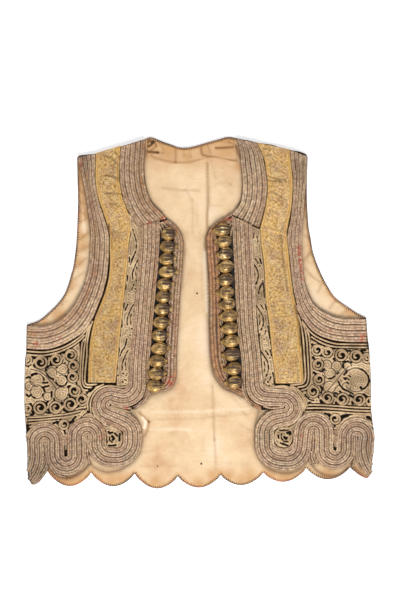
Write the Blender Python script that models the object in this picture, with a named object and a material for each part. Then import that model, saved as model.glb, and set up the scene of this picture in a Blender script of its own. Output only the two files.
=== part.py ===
"""Embroidered waistcoat, open in front, laid flat on its back with its two fronts lying over it.

The origin is under the middle of the garment, on the surface that it lies on. The neck points to +Y. Left and
right in the names are as seen from above, so the left front, at -X, is the wearer's right one.
"""

import math

import bmesh
import bpy
import numpy as np
from mathutils import Vector
from mathutils.geometry import delaunay_2d_cdt

# Everything is worked out in millimetres and made metres where the meshes are written.
MM = 0.001
SEAM_GAP = 0.3

# Thickness of each kind of piece.
WOOL = 2.0
COTTON = 1.0
FACING = 0.8
BROCADE = 1.0
STRIP = 1.2

# A band of couched cords: cord crowns and the grooves between them, above the cloth.
BAND_CROWN = 2.5
BAND_GROOVE = 1.4
BAND_EDGE = 0.9
BRAID_CROWN = 1.9
BRAID_GROOVE = 1.0
NECK_CORDS = 10
ARM_CORDS = 8
FRONT_CORDS = 8
BRAID_CORDS = 3

# The fronts stand a little off the lining between the opening edge and the side fold.
PUFF = 2.4
MIDDLE_X = -5.2
PUFF_FROM, PUFF_TO = 12.0, 220.0
PUFF_HEM_Y, PUFF_SHOULDER_Y = -205.0, 200.0

# Points inside a front stand in rows: distance in a row, between rows, and from the outline.
FRONT_SPACING = 21.0
ROW_APART = 0.87 * FRONT_SPACING
FROM_OUTLINE = 0.45 * FRONT_SPACING

# Slits in a front's hem that are stitched shut: their width and longest run round.
SLIT_SHUT = 3.0
SLIT_ROUND = 2.5 * SLIT_SHUT
SLIT_LONGEST = 110.0

# Shape of a front's hem: spacing of its points, how far it ends inside the fold and below it, points kept.
HEM_STEP = 2.0
FOLD_INSET = 1.0
TAIL_BELOW = 4.0
HEM_KEPT = 4

# Closest points of an outline and of a band's centre line.
BACK_CLOSEST = 1.0
FRONT_CLOSEST = 2.0
BAND_CLOSEST = 1.5

# A crease in the lining: distance between its points, their least number, and its edges as part of its width.
CREASE_STEP = 24.0
CREASE_POINTS = 4
CREASE_EDGE = 0.98
CREASE_FROM_EDGE = 2.0

# Steps along a front band.
TURN_STEP = math.radians(22)
STRAIGHT_STEP = 40.0
WIDE_TURN = 200.0
WIDE_TURN_STEPS = 2
TAIL_HEADING = math.radians(140)

# Where each front band starts under the neck band, and how far its first cut leans.
START_L, LEAN_L = (-64.5, 114.8), 3.2
START_R, LEAN_R = (55.2, 118.4), 6.6

# A scallop is cut as steps along it; less than 1 makes it fuller than a sine.
SCALLOP_STEPS = 7
SCALLOP_FULLNESS = 0.8

# Heights between which a band is cut off at the side fold.
CUT_FROM, CUT_TO = -5.0, 40.0

# Gilt button, a hollow almond lying on its side: distance from its crown, radius.
BUTTON_PROFILE = (
    (0.0, 0.9),
    (4.0, 5.0),
    (9.5, 7.2),
    (15.5, 4.9),
    (22.0, 0.8),
)
BUTTON_SIDES = 8
BUTTON_FLATTEN = 0.72

# Name: red, green, blue, roughness, metallic.
MATERIALS = {
    "dark_wool": (0.020, 0.018, 0.024, 0.9, 0.0),
    "cream_cotton": (0.86, 0.69, 0.45, 0.85, 0.0),
    "silver_cord": (0.38, 0.28, 0.22, 0.5, 0.3),
    "gold_brocade": (0.52, 0.37, 0.13, 0.55, 0.3),
    "dark_strip": (0.030, 0.026, 0.030, 0.85, 0.0),
    "gilt_brass": (0.55, 0.36, 0.12, 0.35, 0.9),
}

# Left shoulder fold, from the armhole to the neck.
# x, y
SHOULDER_L = (
    (-158.6, 200.3),
    (-156.7, 203.6),
    (-147.6, 204.9),
    (-135.8, 206.2),
    (-126.8, 208.1),
    (-112.5, 213.1),
    (-103.4, 215.3),
    (-95.5, 217.2),
    (-83.9, 221.1),
    (-70.2, 225.4),
)

# Right shoulder fold, from the neck to the armhole.
# x, y
SHOULDER_R = (
    (47.5, 226.5),
    (55.2, 224.9),
    (65.7, 223.1),
    (74.8, 220.5),
    (94.2, 217.9),
    (104.7, 214.0),
    (117.7, 211.1),
    (130.7, 208.8),
    (138.5, 205.4),
    (140.1, 202.3),
)

# Back neck edge, from the left shoulder to the right.
# x, y
NECK = (
    (-70.2, 225.4),
    (-64.4, 227.6),
    (-57.9, 226.1),
    (-51.4, 223.1),
    (-38.4, 218.5),
    (-25.4, 214.2),
    (-12.3, 214.6),
    (0.7, 217.9),
    (13.7, 221.8),
    (26.7, 225.3),
    (37.1, 228.0),
    (47.5, 226.5),
)

# Left armhole edge of the back, upward from the side.
# x, y
ARMHOLE_L = (
    (-224.2, -16.1),
    (-208.7, -10.9),
    (-194.3, 0.8),
    (-184.0, 11.2),
    (-176.2, 21.6),
    (-171.0, 33.3),
    (-167.1, 46.3),
    (-163.8, 58.0),
    (-161.2, 74.9),
    (-159.2, 94.4),
    (-158.0, 120.4),
    (-157.3, 146.4),
    (-158.0, 172.4),
    (-158.6, 200.3),
)

# The right armhole edge, downward from the shoulder.
# x, y
ARMHOLE_R = (
    (140.1, 202.3),
    (139.1, 172.4),
    (139.1, 146.4),
    (140.1, 126.9),
    (141.4, 110.0),
    (144.3, 94.4),
    (146.2, 81.4),
    (150.2, 68.4),
    (155.3, 55.4),
    (160.6, 43.7),
    (167.1, 32.0),
    (174.8, 20.3),
    (184.0, 12.5),
    (195.7, 4.7),
    (204.8, -1.4),
    (216.5, -7.0),
)

# Left side fold, where the front turns round to the back, upward from the hem.
# x, y
SIDE_L = (
    (-221.7, -217.0),
    (-223.2, -204.6),
    (-223.7, -176.0),
    (-225.6, -146.1),
    (-226.8, -113.6),
    (-226.8, -81.1),
    (-225.2, -55.1),
    (-224.2, -16.1),
)

# Right side fold, downward to the hem.
# x, y
SIDE_R = (
    (216.5, -7.0),
    (218.0, -29.1),
    (220.3, -48.6),
    (222.2, -81.1),
    (222.7, -121.4),
    (224.2, -139.6),
    (226.6, -160.4),
    (226.3, -176.0),
    (224.2, -192.9),
    (222.4, -209.8),
)

# Hem of the back: the points between its scallops.
# x, y, depth of the scallop to its right
CUSPS = (
    (-197.9, -205.3, 18.9),
    (-141.1, -207.2, 17.6),
    (-84.5, -208.5, 17.9),
    (-28.2, -212.0, 15.9),
    (27.6, -210.3, 15.1),
    (83.2, -207.2, 15.2),
    (139.1, -201.4, 15.3),
    (195.7, -200.7, 0.0),
)

# Half scallop at the right side, from its fold inward.
# x, y
TAIL_R = (
    (222.4, -209.8),
    (217.8, -215.0),
    (211.2, -212.4),
    (204.5, -208.0),
    (195.7, -200.7),
)

# Half scallop at the left side, outward to its fold.
# x, y
TAIL_L = (
    (-197.9, -205.3),
    (-202.9, -212.0),
    (-209.2, -220.0),
    (-217.1, -223.5),
    (-221.7, -217.0),
)

# Corded band round the left armhole, from shoulder to side: free edge, then inner edge.
# edge x, edge y, inner x, inner y
ARM_BAND_L = (
    (-158.7, 201.5, -135.6, 206.1),
    (-155.3, 188.0, -135.6, 189.3),
    (-151.5, 172.4, -135.8, 172.4),
    (-146.9, 146.4, -132.0, 149.0),
    (-143.7, 123.0, -124.8, 126.2),
    (-141.7, 100.9, -118.4, 104.8),
    (-142.3, 85.3, -117.3, 86.6),
    (-143.7, 65.8, -118.4, 65.8),
    (-146.2, 48.9, -120.2, 46.3),
    (-151.5, 33.3, -124.7, 28.1),
    (-159.9, 15.1, -131.2, 9.9),
    (-169.7, 1.4, -139.8, -9.6),
    (-181.3, -9.6, -152.8, -26.5),
    (-193.1, -15.7, -171.0, -38.2),
    (-204.8, -17.8, -189.2, -46.0),
    (-215.2, -17.4, -206.1, -48.6),
    (-224.0, -16.6, -224.5, -46.7),
)

# The same on the right.
# edge x, edge y, inner x, inner y
ARM_BAND_R = (
    (140.0, 203.1, 117.7, 211.0),
    (139.5, 188.0, 120.0, 189.3),
    (138.8, 172.4, 121.8, 172.4),
    (136.2, 146.4, 121.3, 147.7),
    (134.6, 120.4, 118.6, 124.3),
    (133.8, 99.6, 114.1, 99.6),
    (133.2, 81.4, 116.1, 81.4),
    (134.6, 61.9, 118.3, 61.9),
    (135.8, 42.4, 120.2, 42.4),
    (139.8, 29.4, 123.4, 22.9),
    (145.0, 16.4, 128.1, 6.0),
    (154.1, 6.0, 135.2, -9.6),
    (164.5, -0.5, 145.0, -23.3),
    (176.2, -5.7, 160.6, -33.7),
    (189.2, -7.8, 180.1, -39.3),
    (202.2, -7.9, 199.6, -40.3),
    (216.2, -7.9, 218.0, -40.8),
)

# Corded band round the left of the neck, from shoulder to opening.
# edge x, edge y, inner x, inner y
NECK_BAND_L = (
    (-70.3, 225.2, -102.3, 215.3),
    (-70.9, 211.4, -103.6, 201.0),
    (-72.4, 194.5, -104.0, 188.0),
    (-71.8, 178.9, -103.4, 172.4),
    (-69.5, 163.3, -101.8, 159.4),
    (-65.3, 149.0, -97.4, 145.1),
    (-58.5, 138.2, -91.4, 130.8),
    (-50.1, 130.3, -84.9, 119.7),
    (-42.2, 122.2, -78.7, 112.6),
)

# The same on the right.
# edge x, edge y, inner x, inner y
NECK_BAND_R = (
    (47.7, 226.2, 74.2, 220.4),
    (51.9, 212.7, 81.2, 207.5),
    (53.6, 197.1, 84.9, 191.9),
    (55.2, 180.2, 87.5, 175.0),
    (55.9, 163.3, 88.0, 159.4),
    (54.3, 147.0, 86.5, 143.8),
    (49.4, 136.6, 82.9, 128.2),
    (41.6, 127.8, 77.9, 110.2),
)

# Turns of the left front band, opening edge to side: its centre line runs round these like a belt.
# centre x, centre y, radius, turn (-1 clockwise), half width of the band
TURNS_L = (
    (-454.5, 104.8, 390.0, -1, 13.3),
    (-99.5, -91.5, 19.5, -1, 12.7),
    (-115.7, -120.1, 12.5, 1, 11.4),
    (-105.3, -157.8, 18.2, -1, 12.5),
    (-107.9, -167.6, 20.8, -1, 12.7),
    (-115.8, -170.2, 17.7, -1, 12.7),
    (-146.6, -161.3, 13.4, 1, 12.3),
    (-173.6, -185.1, 14.3, -1, 12.7),
    (-201.5, -168.2, 13.3, 1, 12.2),
    (-256.8, -185.1, 42.9, -1, 12.5),
)

# The same on the right.
# centre x, centre y, radius, turn (-1 clockwise), half width of the band
TURNS_R = (
    (450.4, 16.4, 390.0, 1, 13.3),
    (89.0, -91.5, 18.2, 1, 12.5),
    (109.9, -123.1, 12.5, -1, 11.4),
    (103.4, -156.5, 18.9, 1, 12.5),
    (106.0, -170.8, 21.4, 1, 12.7),
    (113.8, -173.4, 19.5, 1, 12.7),
    (148.7, -154.6, 13.4, -1, 12.3),
    (176.2, -177.3, 14.3, 1, 12.7),
    (204.5, -161.7, 13.8, -1, 12.2),
    (258.1, -176.0, 41.6, 1, 12.5),
)

# Braid of three cords on the left opening edge, from the neck band down round the lobe.
# edge x, edge y, inner x, inner y
EDGE_BRAID_L = (
    (-41.5, 120.9, -49.8, 117.5),
    (-35.8, 117.0, -44.9, 112.3),
    (-28.7, 110.4, -38.4, 105.0),
    (-23.0, 100.6, -33.1, 96.7),
    (-20.7, 87.9, -31.1, 85.9),
    (-22.0, 63.2, -32.2, 63.2),
    (-24.6, 29.4, -34.8, 29.4),
    (-26.8, -7.0, -37.1, -7.0),
    (-29.0, -42.1, -39.3, -42.1),
    (-29.8, -68.1, -40.0, -66.8),
    (-30.0, -83.7, -39.9, -79.3),
    (-33.9, -94.9, -41.5, -86.8),
    (-42.2, -101.0, -46.7, -92.3),
    (-54.0, -104.1, -56.6, -95.9),
    (-63.6, -108.4, -67.7, -102.2),
    (-68.2, -113.6, -71.4, -109.3),
    (-74.0, -119.1, -76.3, -115.3),
    (-80.0, -123.2, -82.4, -120.1),
    (-84.9, -126.1, -86.7, -122.3),
)

# The same on the right.
# edge x, edge y, inner x, inner y
EDGE_BRAID_R = (
    (35.8, 124.0, 40.2, 119.3),
    (29.2, 121.9, 33.7, 115.7),
    (21.4, 116.5, 27.2, 108.7),
    (13.7, 109.2, 23.0, 102.4),
    (9.5, 99.6, 20.9, 95.7),
    (9.1, 86.6, 20.8, 85.5),
    (10.9, 63.2, 22.6, 63.2),
    (12.5, 29.4, 24.2, 29.4),
    (13.1, -9.6, 24.8, -9.6),
    (13.9, -38.2, 25.6, -38.2),
    (15.6, -61.6, 27.2, -60.3),
    (18.9, -77.2, 29.8, -72.5),
    (24.6, -87.6, 33.4, -80.3),
    (33.1, -96.7, 39.1, -88.7),
    (44.1, -103.2, 46.7, -94.9),
    (56.0, -108.7, 58.9, -101.4),
    (59.9, -113.6, 62.3, -108.4),
    (65.7, -119.1, 67.1, -114.3),
    (72.9, -124.0, 73.5, -118.8),
    (80.7, -127.1, 80.0, -121.7),
)

# Dark strip under the left buttons.
# edge x, edge y, inner x, inner y
BUTTON_STRIP_L = (
    (-46.7, 111.3, -49.5, 112.6),
    (-41.0, 104.9, -49.8, 107.4),
    (-34.6, 95.7, -50.2, 97.0),
    (-32.5, 85.3, -51.1, 85.3),
    (-33.3, 68.4, -52.4, 68.4),
    (-35.1, 42.4, -54.7, 42.4),
    (-36.8, 16.4, -57.1, 16.4),
    (-38.4, -9.6, -59.1, -9.6),
    (-40.6, -42.1, -61.8, -42.1),
    (-41.3, -66.2, -63.8, -66.8),
    (-41.3, -78.0, -64.9, -78.5),
    (-43.0, -85.3, -65.4, -86.3),
    (-47.5, -91.0, -65.3, -92.2),
    (-55.2, -93.6, -65.4, -95.4),
)

# The same on the right.
# edge x, edge y, inner x, inner y
BUTTON_STRIP_R = (
    (34.3, 113.9, 40.4, 117.0),
    (28.5, 107.1, 40.8, 108.7),
    (24.6, 101.1, 41.3, 100.9),
    (22.4, 94.4, 42.2, 94.4),
    (22.2, 85.3, 42.6, 85.3),
    (23.8, 68.4, 43.6, 68.4),
    (25.1, 42.4, 44.9, 42.4),
    (25.6, 16.4, 46.0, 16.4),
    (26.3, -9.6, 46.9, -9.6),
    (27.0, -35.6, 49.1, -35.6),
    (28.6, -59.3, 52.9, -59.0),
    (31.1, -71.8, 54.7, -70.7),
    (34.8, -79.3, 56.3, -81.1),
    (40.2, -87.4, 56.6, -88.9),
    (47.5, -93.6, 56.6, -95.4),
)

# Gathered brocade over the left shoulder, down to its joint.
# outer x, outer y, inner x, inner y
SHOULDER_RIBBON_L = (
    (-134.3, 205.9, -103.6, 214.9),
    (-134.4, 188.0, -105.0, 190.6),
    (-134.3, 169.8, -104.7, 171.7),
    (-130.7, 149.5, -101.3, 150.9),
    (-123.6, 128.2, -94.0, 130.8),
    (-118.7, 113.1, -89.0, 119.3),
    (-117.4, 104.5, -88.8, 108.9),
)

# The same on the right.
# outer x, outer y, inner x, inner y
SHOULDER_RIBBON_R = (
    (116.6, 210.9, 75.8, 219.8),
    (118.7, 189.3, 84.9, 199.7),
    (120.5, 172.4, 87.5, 184.1),
    (120.1, 152.9, 89.3, 167.2),
    (118.2, 133.4, 88.5, 149.0),
    (114.5, 115.2, 84.9, 130.0),
    (112.5, 102.2, 80.0, 110.8),
)

# Brocade ribbon down the left front.
# outer x, outer y, inner x, inner y
FRONT_RIBBON_L = (
    (-116.5, 102.4, -89.3, 106.9),
    (-115.8, 86.6, -92.7, 87.2),
    (-116.9, 65.8, -93.7, 67.1),
    (-118.6, 46.3, -95.7, 47.6),
    (-122.9, 28.1, -97.6, 28.1),
    (-129.1, 9.9, -99.6, 8.6),
    (-134.6, -4.4, -101.1, -7.0),
    (-138.7, -20.0, -103.0, -22.6),
    (-141.8, -38.2, -104.7, -39.5),
    (-143.9, -57.7, -106.0, -57.7),
    (-145.5, -77.2, -107.9, -77.2),
    (-146.8, -92.8, -109.9, -92.8),
)

# The same on the right.
# outer x, outer y, inner x, inner y
FRONT_RIBBON_R = (
    (112.2, 100.1, 79.4, 108.4),
    (113.2, 86.6, 79.8, 91.8),
    (115.0, 72.3, 82.5, 74.9),
    (117.1, 54.1, 84.4, 55.4),
    (120.5, 29.4, 85.4, 29.4),
    (124.7, 9.9, 87.6, 6.0),
    (129.2, -13.5, 90.4, -16.1),
    (131.6, -36.9, 92.7, -38.2),
    (133.5, -56.4, 94.6, -56.4),
    (134.8, -74.6, 96.9, -74.6),
    (135.8, -93.2, 98.8, -93.2),
)

# Facing of the back neck: its neck edge, then the seam where it meets the lining.
# edge x, edge y, seam x, seam y
NECK_FACING = (
    (-68.2, 224.4, -67.7, 203.6),
    (-61.8, 224.4, -57.9, 199.9),
    (-51.4, 220.5, -47.5, 197.1),
    (-38.4, 216.3, -35.8, 194.5),
    (-25.4, 212.2, -22.8, 194.5),
    (-12.3, 212.4, -11.7, 195.0),
    (0.7, 215.5, -0.7, 198.9),
    (13.7, 219.4, 12.3, 202.3),
    (26.7, 223.1, 26.0, 201.5),
    (37.1, 225.7, 38.4, 198.4),
    (45.4, 223.9, 50.1, 195.0),
)

# Creases pressed into the lining.
# from x, from y, to x, to y, height, half width
CREASES = (
    (-68.2, 201.0, -54.0, 177.6, 1.4, 5),
    (11.1, 198.4, 11.8, 117.8, 0.9, 5),
    (20.2, -116.2, 22.8, -189.0, 0.6, 6),
    (-61.8, -130.5, -2.0, -138.3, 0.7, 7),
    (-2.0, -138.3, 60.5, -134.4, 0.6, 7),
    (-64.4, -151.3, -63.1, -129.2, 1.4, 4),
    (-8.5, 172.4, -27.9, 128.2, 0.7, 8),
    (31.9, 185.4, 18.9, 151.6, 0.8, 7),
    (-152.1, 136.0, -155.9, 81.4, 0.6, 4),
)

# Gathers of the shoulder brocade: place along it and across it (0 to 1), length across, height.
GATHERS = (
    (0.10, 0.70, 0.55, 0.9),
    (0.22, 0.35, 0.60, 0.7),
    (0.33, 0.75, 0.50, 1.1),
    (0.44, 0.40, 0.60, 0.8),
    (0.55, 0.75, 0.55, 1.2),
    (0.66, 0.35, 0.60, 0.9),
    (0.77, 0.70, 0.60, 1.2),
    (0.88, 0.45, 0.70, 1.0),
)
GATHER_HALF_WIDTH = 0.045

# Left buttons, top to bottom.
# x of the crown, x of the point, y
BUTTONS_L = (
    (-48.8, -27.9, 102.2),
    (-50.1, -27.9, 86.6),
    (-51.4, -29.2, 69.7),
    (-52.0, -26.7, 54.1),
    (-54.6, -31.9, 37.2),
    (-55.9, -34.5, 20.9),
    (-57.9, -34.5, 4.7),
    (-59.1, -35.8, -12.2),
    (-61.1, -38.4, -29.1),
    (-61.8, -37.1, -44.7),
    (-64.4, -41.0, -61.6),
    (-65.7, -42.2, -77.9),
    (-67.6, -44.9, -94.1),
)

# Right buttons, top to bottom.
# x of the crown, x of the point, y
BUTTONS_R = (
    (39.6, 16.2, 106.1),
    (41.0, 18.9, 90.5),
    (42.2, 21.4, 75.5),
    (43.6, 21.4, 59.9),
    (43.6, 21.4, 44.3),
    (43.6, 20.2, 28.1),
    (46.1, 23.4, 12.5),
    (48.8, 24.1, -3.8),
    (49.4, 26.0, -20.7),
    (51.4, 26.7, -37.6),
    (52.6, 27.9, -54.5),
    (54.0, 30.6, -73.3),
    (55.2, 31.9, -91.5),
)


def smooth(rows, steps):
    """A smooth line through the rows of a table, with this many steps between two rows."""
    rows = np.array(rows, float)
    ends = np.vstack([2 * rows[0] - rows[1], rows, 2 * rows[-1] - rows[-2]])
    line = []
    for a, b, c, d in zip(ends, ends[1:], ends[2:], ends[3:]):
        for t in np.arange(steps) / steps:
            bend = t * (2 * a - 5 * b + 4 * c - d + t * (3 * b - a - 3 * c + d))
            line.append(b + 0.5 * t * (c - a + bend))
    return np.array(line + [rows[-1]])


def puff(x, y):
    """How far the cloth of a front stands off the lining here."""
    across = np.clip((abs(x - MIDDLE_X) - PUFF_FROM) / (PUFF_TO - PUFF_FROM), 0, 1)
    along = np.clip((y - PUFF_HEM_Y) / (PUFF_SHOULDER_Y - PUFF_HEM_Y), 0, 1)
    return PUFF * (math.sin(math.pi * across) * math.sin(math.pi * along)) ** 2


def lining_under(x, y):
    return WOOL + SEAM_GAP


def front_under(x, y):
    return WOOL + COTTON + 2 * SEAM_GAP + puff(x, y)


def front_top(x, y):
    return front_under(x, y) + WOOL


def on_front(x, y):
    """Underside of what is sewn on a front."""
    return front_top(x, y) + SEAM_GAP


def crease_height(x, y):
    height = 0.0
    for x0, y0, x1, y1, top, half in CREASES:
        run = np.array([x1 - x0, y1 - y0])
        length = np.hypot(*run)
        along = np.dot([x - x0, y - y0], run) / length
        off = abs(run[0] * (y - y0) - run[1] * (x - x0)) / length
        if 0 <= along <= length and off < half:
            height = max(height, top * (1 - off / half) * min(1, 4 * along / length, 4 - 4 * along / length))
    return height


def mesh_object(name, points, faces, finish):
    """An object from points in millimetres."""
    mesh = bpy.data.meshes.new(name)
    mesh.from_pydata([tuple(c * MM for c in p) for p in points], [], faces)
    bm = bmesh.new()
    bm.from_mesh(mesh)
    bmesh.ops.recalc_face_normals(bm, faces=bm.faces[:])
    bm.to_mesh(mesh)
    bm.free()
    return placed(name, mesh, finish)


def placed(name, mesh, finish):
    obj = bpy.data.objects.new(name, mesh)
    if not mesh.materials:
        mesh.materials.append(bpy.data.materials[finish])
    bpy.data.collections["Embroidered waistcoat"].objects.link(obj)
    return obj


def inside(outline, point, margin):
    """Whether the point lies within the outline and at least the margin from it."""
    a = outline
    b = np.roll(outline, -1, axis=0)
    side = b - a
    along = np.clip(((point - a) * side).sum(1) / np.maximum((side**2).sum(1), 1e-9), 0, 1)
    near = np.hypot(*(a + along[:, None] * side - point).T).min()
    crosses = (a[:, 1] > point[1]) != (b[:, 1] > point[1])
    height = np.where(side[:, 1] == 0, 1, side[:, 1])
    right = point[0] < a[:, 0] + (point[1] - a[:, 1]) * side[:, 0] / height
    return near > margin and (crosses & right).sum() % 2 == 1


def spread(outline):
    """Points in staggered rows inside the outline of a front."""
    low, high = outline.min(0), outline.max(0)
    points = []
    for row, y in enumerate(np.arange(low[1], high[1], ROW_APART)):
        for x in np.arange(low[0] + FRONT_SPACING / 2 * (row % 2), high[0], FRONT_SPACING):
            if inside(outline, np.array([x, y]), FROM_OUTLINE):
                points.append((x, y))
    return points


def panel(name, outline, inner, under, top, finish):
    """A cut piece of cloth: its outline, points inside it, and the heights of its two sides."""
    flat = [Vector(p) for p in outline] + [Vector(p) for p in inner]
    found = delaunay_2d_cdt(flat, [], [list(range(len(outline)))], 1, 1e-4)
    spots, faces = found[0], [list(f) for f in found[2]]
    count = len(spots)
    points = [(*p, top(*p)) for p in spots] + [(*p, under(*p)) for p in spots]
    sides = []
    once = {}
    for face in faces:
        for a, b in zip(face, face[1:] + face[:1]):
            if once.pop((b, a), None) is None:
                once[(a, b)] = True
    for a, b in once:
        sides.append([b, a, a + count, b + count])
    below = [[i + count for i in reversed(f)] for f in faces]
    return mesh_object(name, points, faces + below + sides, finish)


def section(cords, crown, groove, edge):
    """Cross-section of a row of cords: place across (0 to 1) and height of each point."""
    points = [(0.0, edge)]
    for cord in range(cords):
        points.append(((cord + 0.5) / cords, crown))
        points.append(((cord + 1) / cords, groove))
    points[-1] = (1.0, edge)
    return points


def strip(name, free, inner, tops, under, finish):
    """A strip between two edges, with its top through the section's points and its underside on the cloth.

    tops gives the points of the section at each cross-line, from 0 to 1 along the strip.
    """
    across = len(tops(0.0))
    feet = (0.0, 0.5, 1.0)
    row = across + len(feet)
    points = []
    for i, (a, b) in enumerate(zip(free, inner)):
        for t, height in tops(i / (len(free) - 1)):
            x, y = a + (b - a) * t
            points.append((x, y, under(x, y) + height))
        for t in feet:
            x, y = a + (b - a) * t
            points.append((x, y, under(x, y)))
    ring = list(range(across)) + [across + 2, across + 1, across]
    faces = []
    for i in range(len(free) - 1):
        for k, j in zip(ring, ring[1:] + ring[:1]):
            faces.append([i * row + k, i * row + j, (i + 1) * row + j, (i + 1) * row + k])
    faces.append(ring[::-1])
    faces.append([(len(free) - 1) * row + k for k in ring])
    return mesh_object(name, points, faces, finish)


def corded(name, rows, steps, cords, finish="silver_cord"):
    """A band of parallel couched cords between the two edges of a table."""
    line = smooth(rows, steps)
    profile = section(cords, BAND_CROWN, BAND_GROOVE, BAND_EDGE)
    return strip(name, line[:, :2], line[:, 2:], lambda along: profile, on_front, finish)


def normal(heading):
    return np.array([-math.sin(heading), math.cos(heading)])


def headings_between(turns):
    """Heading of the straight run from each turn to the next, tangent to both."""
    found = []
    for (xa, ya, ra, ta, _), (xb, yb, rb, tb, _) in zip(turns, turns[1:]):
        reach = math.hypot(xb - xa, yb - ya)
        bearing = math.atan2(yb - ya, xb - xa)
        found.append(bearing - math.asin((tb * rb - ta * ra) / reach))
    return found


def belt(start, turns, last_heading):
    """Centre line of a front band: place, heading and half width at each cross-line."""
    turns = [(*start, 0.0, 0, turns[0][4])] + list(turns)
    headings = headings_between(turns)
    stations = [(np.array(start), headings[0], turns[0][4])]
    for (x, y, radius, turn, half), arrive, leave in zip(turns[1:], headings, headings[1:] + [last_heading]):
        sweep = (turn * (leave - arrive)) % math.tau
        centre = np.array([x, y])
        first = centre - turn * radius * normal(arrive)
        last, _, last_half = stations[-1]
        pieces = max(1, round(np.hypot(*(first - last)) / STRAIGHT_STEP))
        for i in range(1, pieces):
            t = i / pieces
            stations.append((last + (first - last) * t, arrive, last_half + (half - last_half) * t))
        steps = max(1, round(sweep / TURN_STEP))
        if radius > WIDE_TURN:
            steps = WIDE_TURN_STEPS
        for i in range(steps + 1):
            heading = arrive + turn * sweep * i / steps
            stations.append((centre - turn * radius * normal(heading), heading, half))
    return without_doubles(stations)


def without_doubles(stations):
    kept = stations[:1]
    for station in stations[1:]:
        if np.hypot(*(station[0] - kept[-1][0])) > BAND_CLOSEST:
            kept.append(station)
    return kept


def band_edges(stations, side, lean):
    """Free edge and inner edge of a front band; side is 1 where the free edge is on its left."""
    free = np.array([place + side * half * normal(heading) for place, heading, half in stations])
    inner = np.array([place - side * half * normal(heading) for place, heading, half in stations])
    ahead = np.array([math.cos(stations[0][1]), math.sin(stations[0][1])])
    free[0] -= lean * ahead
    inner[0] += lean * ahead
    return free, inner


def slits_shut(line):
    """The line with its narrow slits left out, and the index where the first slit ended."""
    kept, mouth, i = [], None, 0
    run = np.concatenate([[0], np.cumsum(np.hypot(*np.diff(line, axis=0).T))])
    while i < len(line):
        kept.append(line[i])
        apart = np.hypot(*(line - line[i]).T)
        ahead = (run > run[i] + SLIT_ROUND) & (run < run[i] + SLIT_LONGEST)
        past = np.flatnonzero((apart < SLIT_SHUT) & ahead)
        if len(past):
            i = past[-1]
            mouth = len(kept) if mouth is None else mouth
        else:
            i += 1
    return np.array(kept), mouth


def fine(line, spacing):
    """The line with more points, at most this far apart."""
    points = []
    for a, b in zip(line, line[1:]):
        for t in np.arange(0, 1, 1 / max(1, math.ceil(np.hypot(*(b - a)) / spacing))):
            points.append(a + (b - a) * t)
    return np.array(points + [line[-1]])


def thinned(points, spacing):
    """The closed outline without points that crowd the one before."""
    kept = [points[0]]
    for p in points[1:]:
        if np.hypot(*(p - kept[-1])) > spacing:
            kept.append(p)
    while np.hypot(*(kept[0] - kept[-1])) < spacing:
        kept.pop()
    return np.array(kept)


def back_outline():
    """Outline of the back and its lining, clockwise from the left side fold at the hem."""
    top = [smooth(SIDE_L, 1), smooth(ARMHOLE_L, 1), smooth(SHOULDER_L, 1), smooth(NECK, 1)]
    top += [smooth(SHOULDER_R, 1), smooth(ARMHOLE_R, 1), smooth(SIDE_R, 1), smooth(TAIL_R, 1)]
    hem = []
    for (x1, y1, depth), (x0, y0, _) in zip(CUSPS[-2::-1], CUSPS[::-1]):
        for i in range(SCALLOP_STEPS):
            t = i / SCALLOP_STEPS
            drop = depth * math.sin(math.pi * t) ** SCALLOP_FULLNESS
            hem.append((x0 + (x1 - x0) * t, y0 + (y1 - y0) * t - drop))
    hem.append(CUSPS[0][:2])
    return thinned(np.vstack(top + [np.array(hem), smooth(TAIL_L, 1)]), BACK_CLOSEST)


def front_outline(shoulder, neck, braid, free, side_fold, arm):
    """Outline of a front: shoulder, neck, opening, hem, side and armhole."""
    hem, mouth = slits_shut(fine(free, HEM_STEP))
    hem = hem[mouth:]
    hem = hem[abs(hem[:, 0]) < abs(side_fold[0][0]) - FOLD_INSET]
    hem = hem[hem[:, 1] > side_fold[0][1] - TAIL_BELOW][::HEM_KEPT]
    parts = [shoulder, smooth(neck, 1)[:, :2], smooth(braid, 1)[:, :2], hem]
    parts += [side_fold, smooth(arm, 1)[::-1, :2]]
    return thinned(np.vstack(parts), FRONT_CLOSEST)


def make_back():
    outline = back_outline()
    panel("back", outline, [], lambda x, y: 0.0, lambda x, y: WOOL, "dark_wool")
    inner = []
    for x0, y0, x1, y1, _, half in CREASES:
        run = np.array([x1 - x0, y1 - y0])
        length = np.hypot(*run)
        off = half * np.array([-run[1], run[0]]) / length
        for t in np.linspace(0, 1, max(CREASE_POINTS, 1 + round(length / CREASE_STEP))):
            for side in (-CREASE_EDGE, 0, CREASE_EDGE):
                point = np.array([x0, y0]) + run * t + off * side
                if inside(outline, point, CREASE_FROM_EDGE):
                    inner.append(tuple(point))
    top = WOOL + SEAM_GAP + COTTON
    panel("back_lining", outline, inner, lining_under, lambda x, y: top + crease_height(x, y), "cream_cotton")
    line = smooth(NECK_FACING, 1)
    flat = [(0.0, FACING), (1.0, FACING)]
    under = top + SEAM_GAP
    strip("neck_facing", line[:, :2], line[:, 2:], lambda t: flat, lambda x, y: under, "cream_cotton")


def ribbon_tops(gathered):
    """Section of a brocade ribbon along its length, flat or with gathers raised in it."""
    places = np.linspace(0, 1, 6) if gathered else np.array([0.0, 1.0])

    def tops(along):
        heights = np.full(len(places), BROCADE)
        for at, across, length, height in GATHERS if gathered else ():
            near = max(0, 1 - abs(along - at) / GATHER_HALF_WIDTH)
            heights += height * near * np.maximum(0, 1 - abs(places - across) / (length / 2))
        return list(zip(places, heights))

    return tops


def make_ribbon(name, rows, gathered):
    line = smooth(rows, 4 if gathered else 1)
    strip(name, line[:, :2], line[:, 2:], ribbon_tops(gathered), on_front, "gold_brocade")


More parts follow.
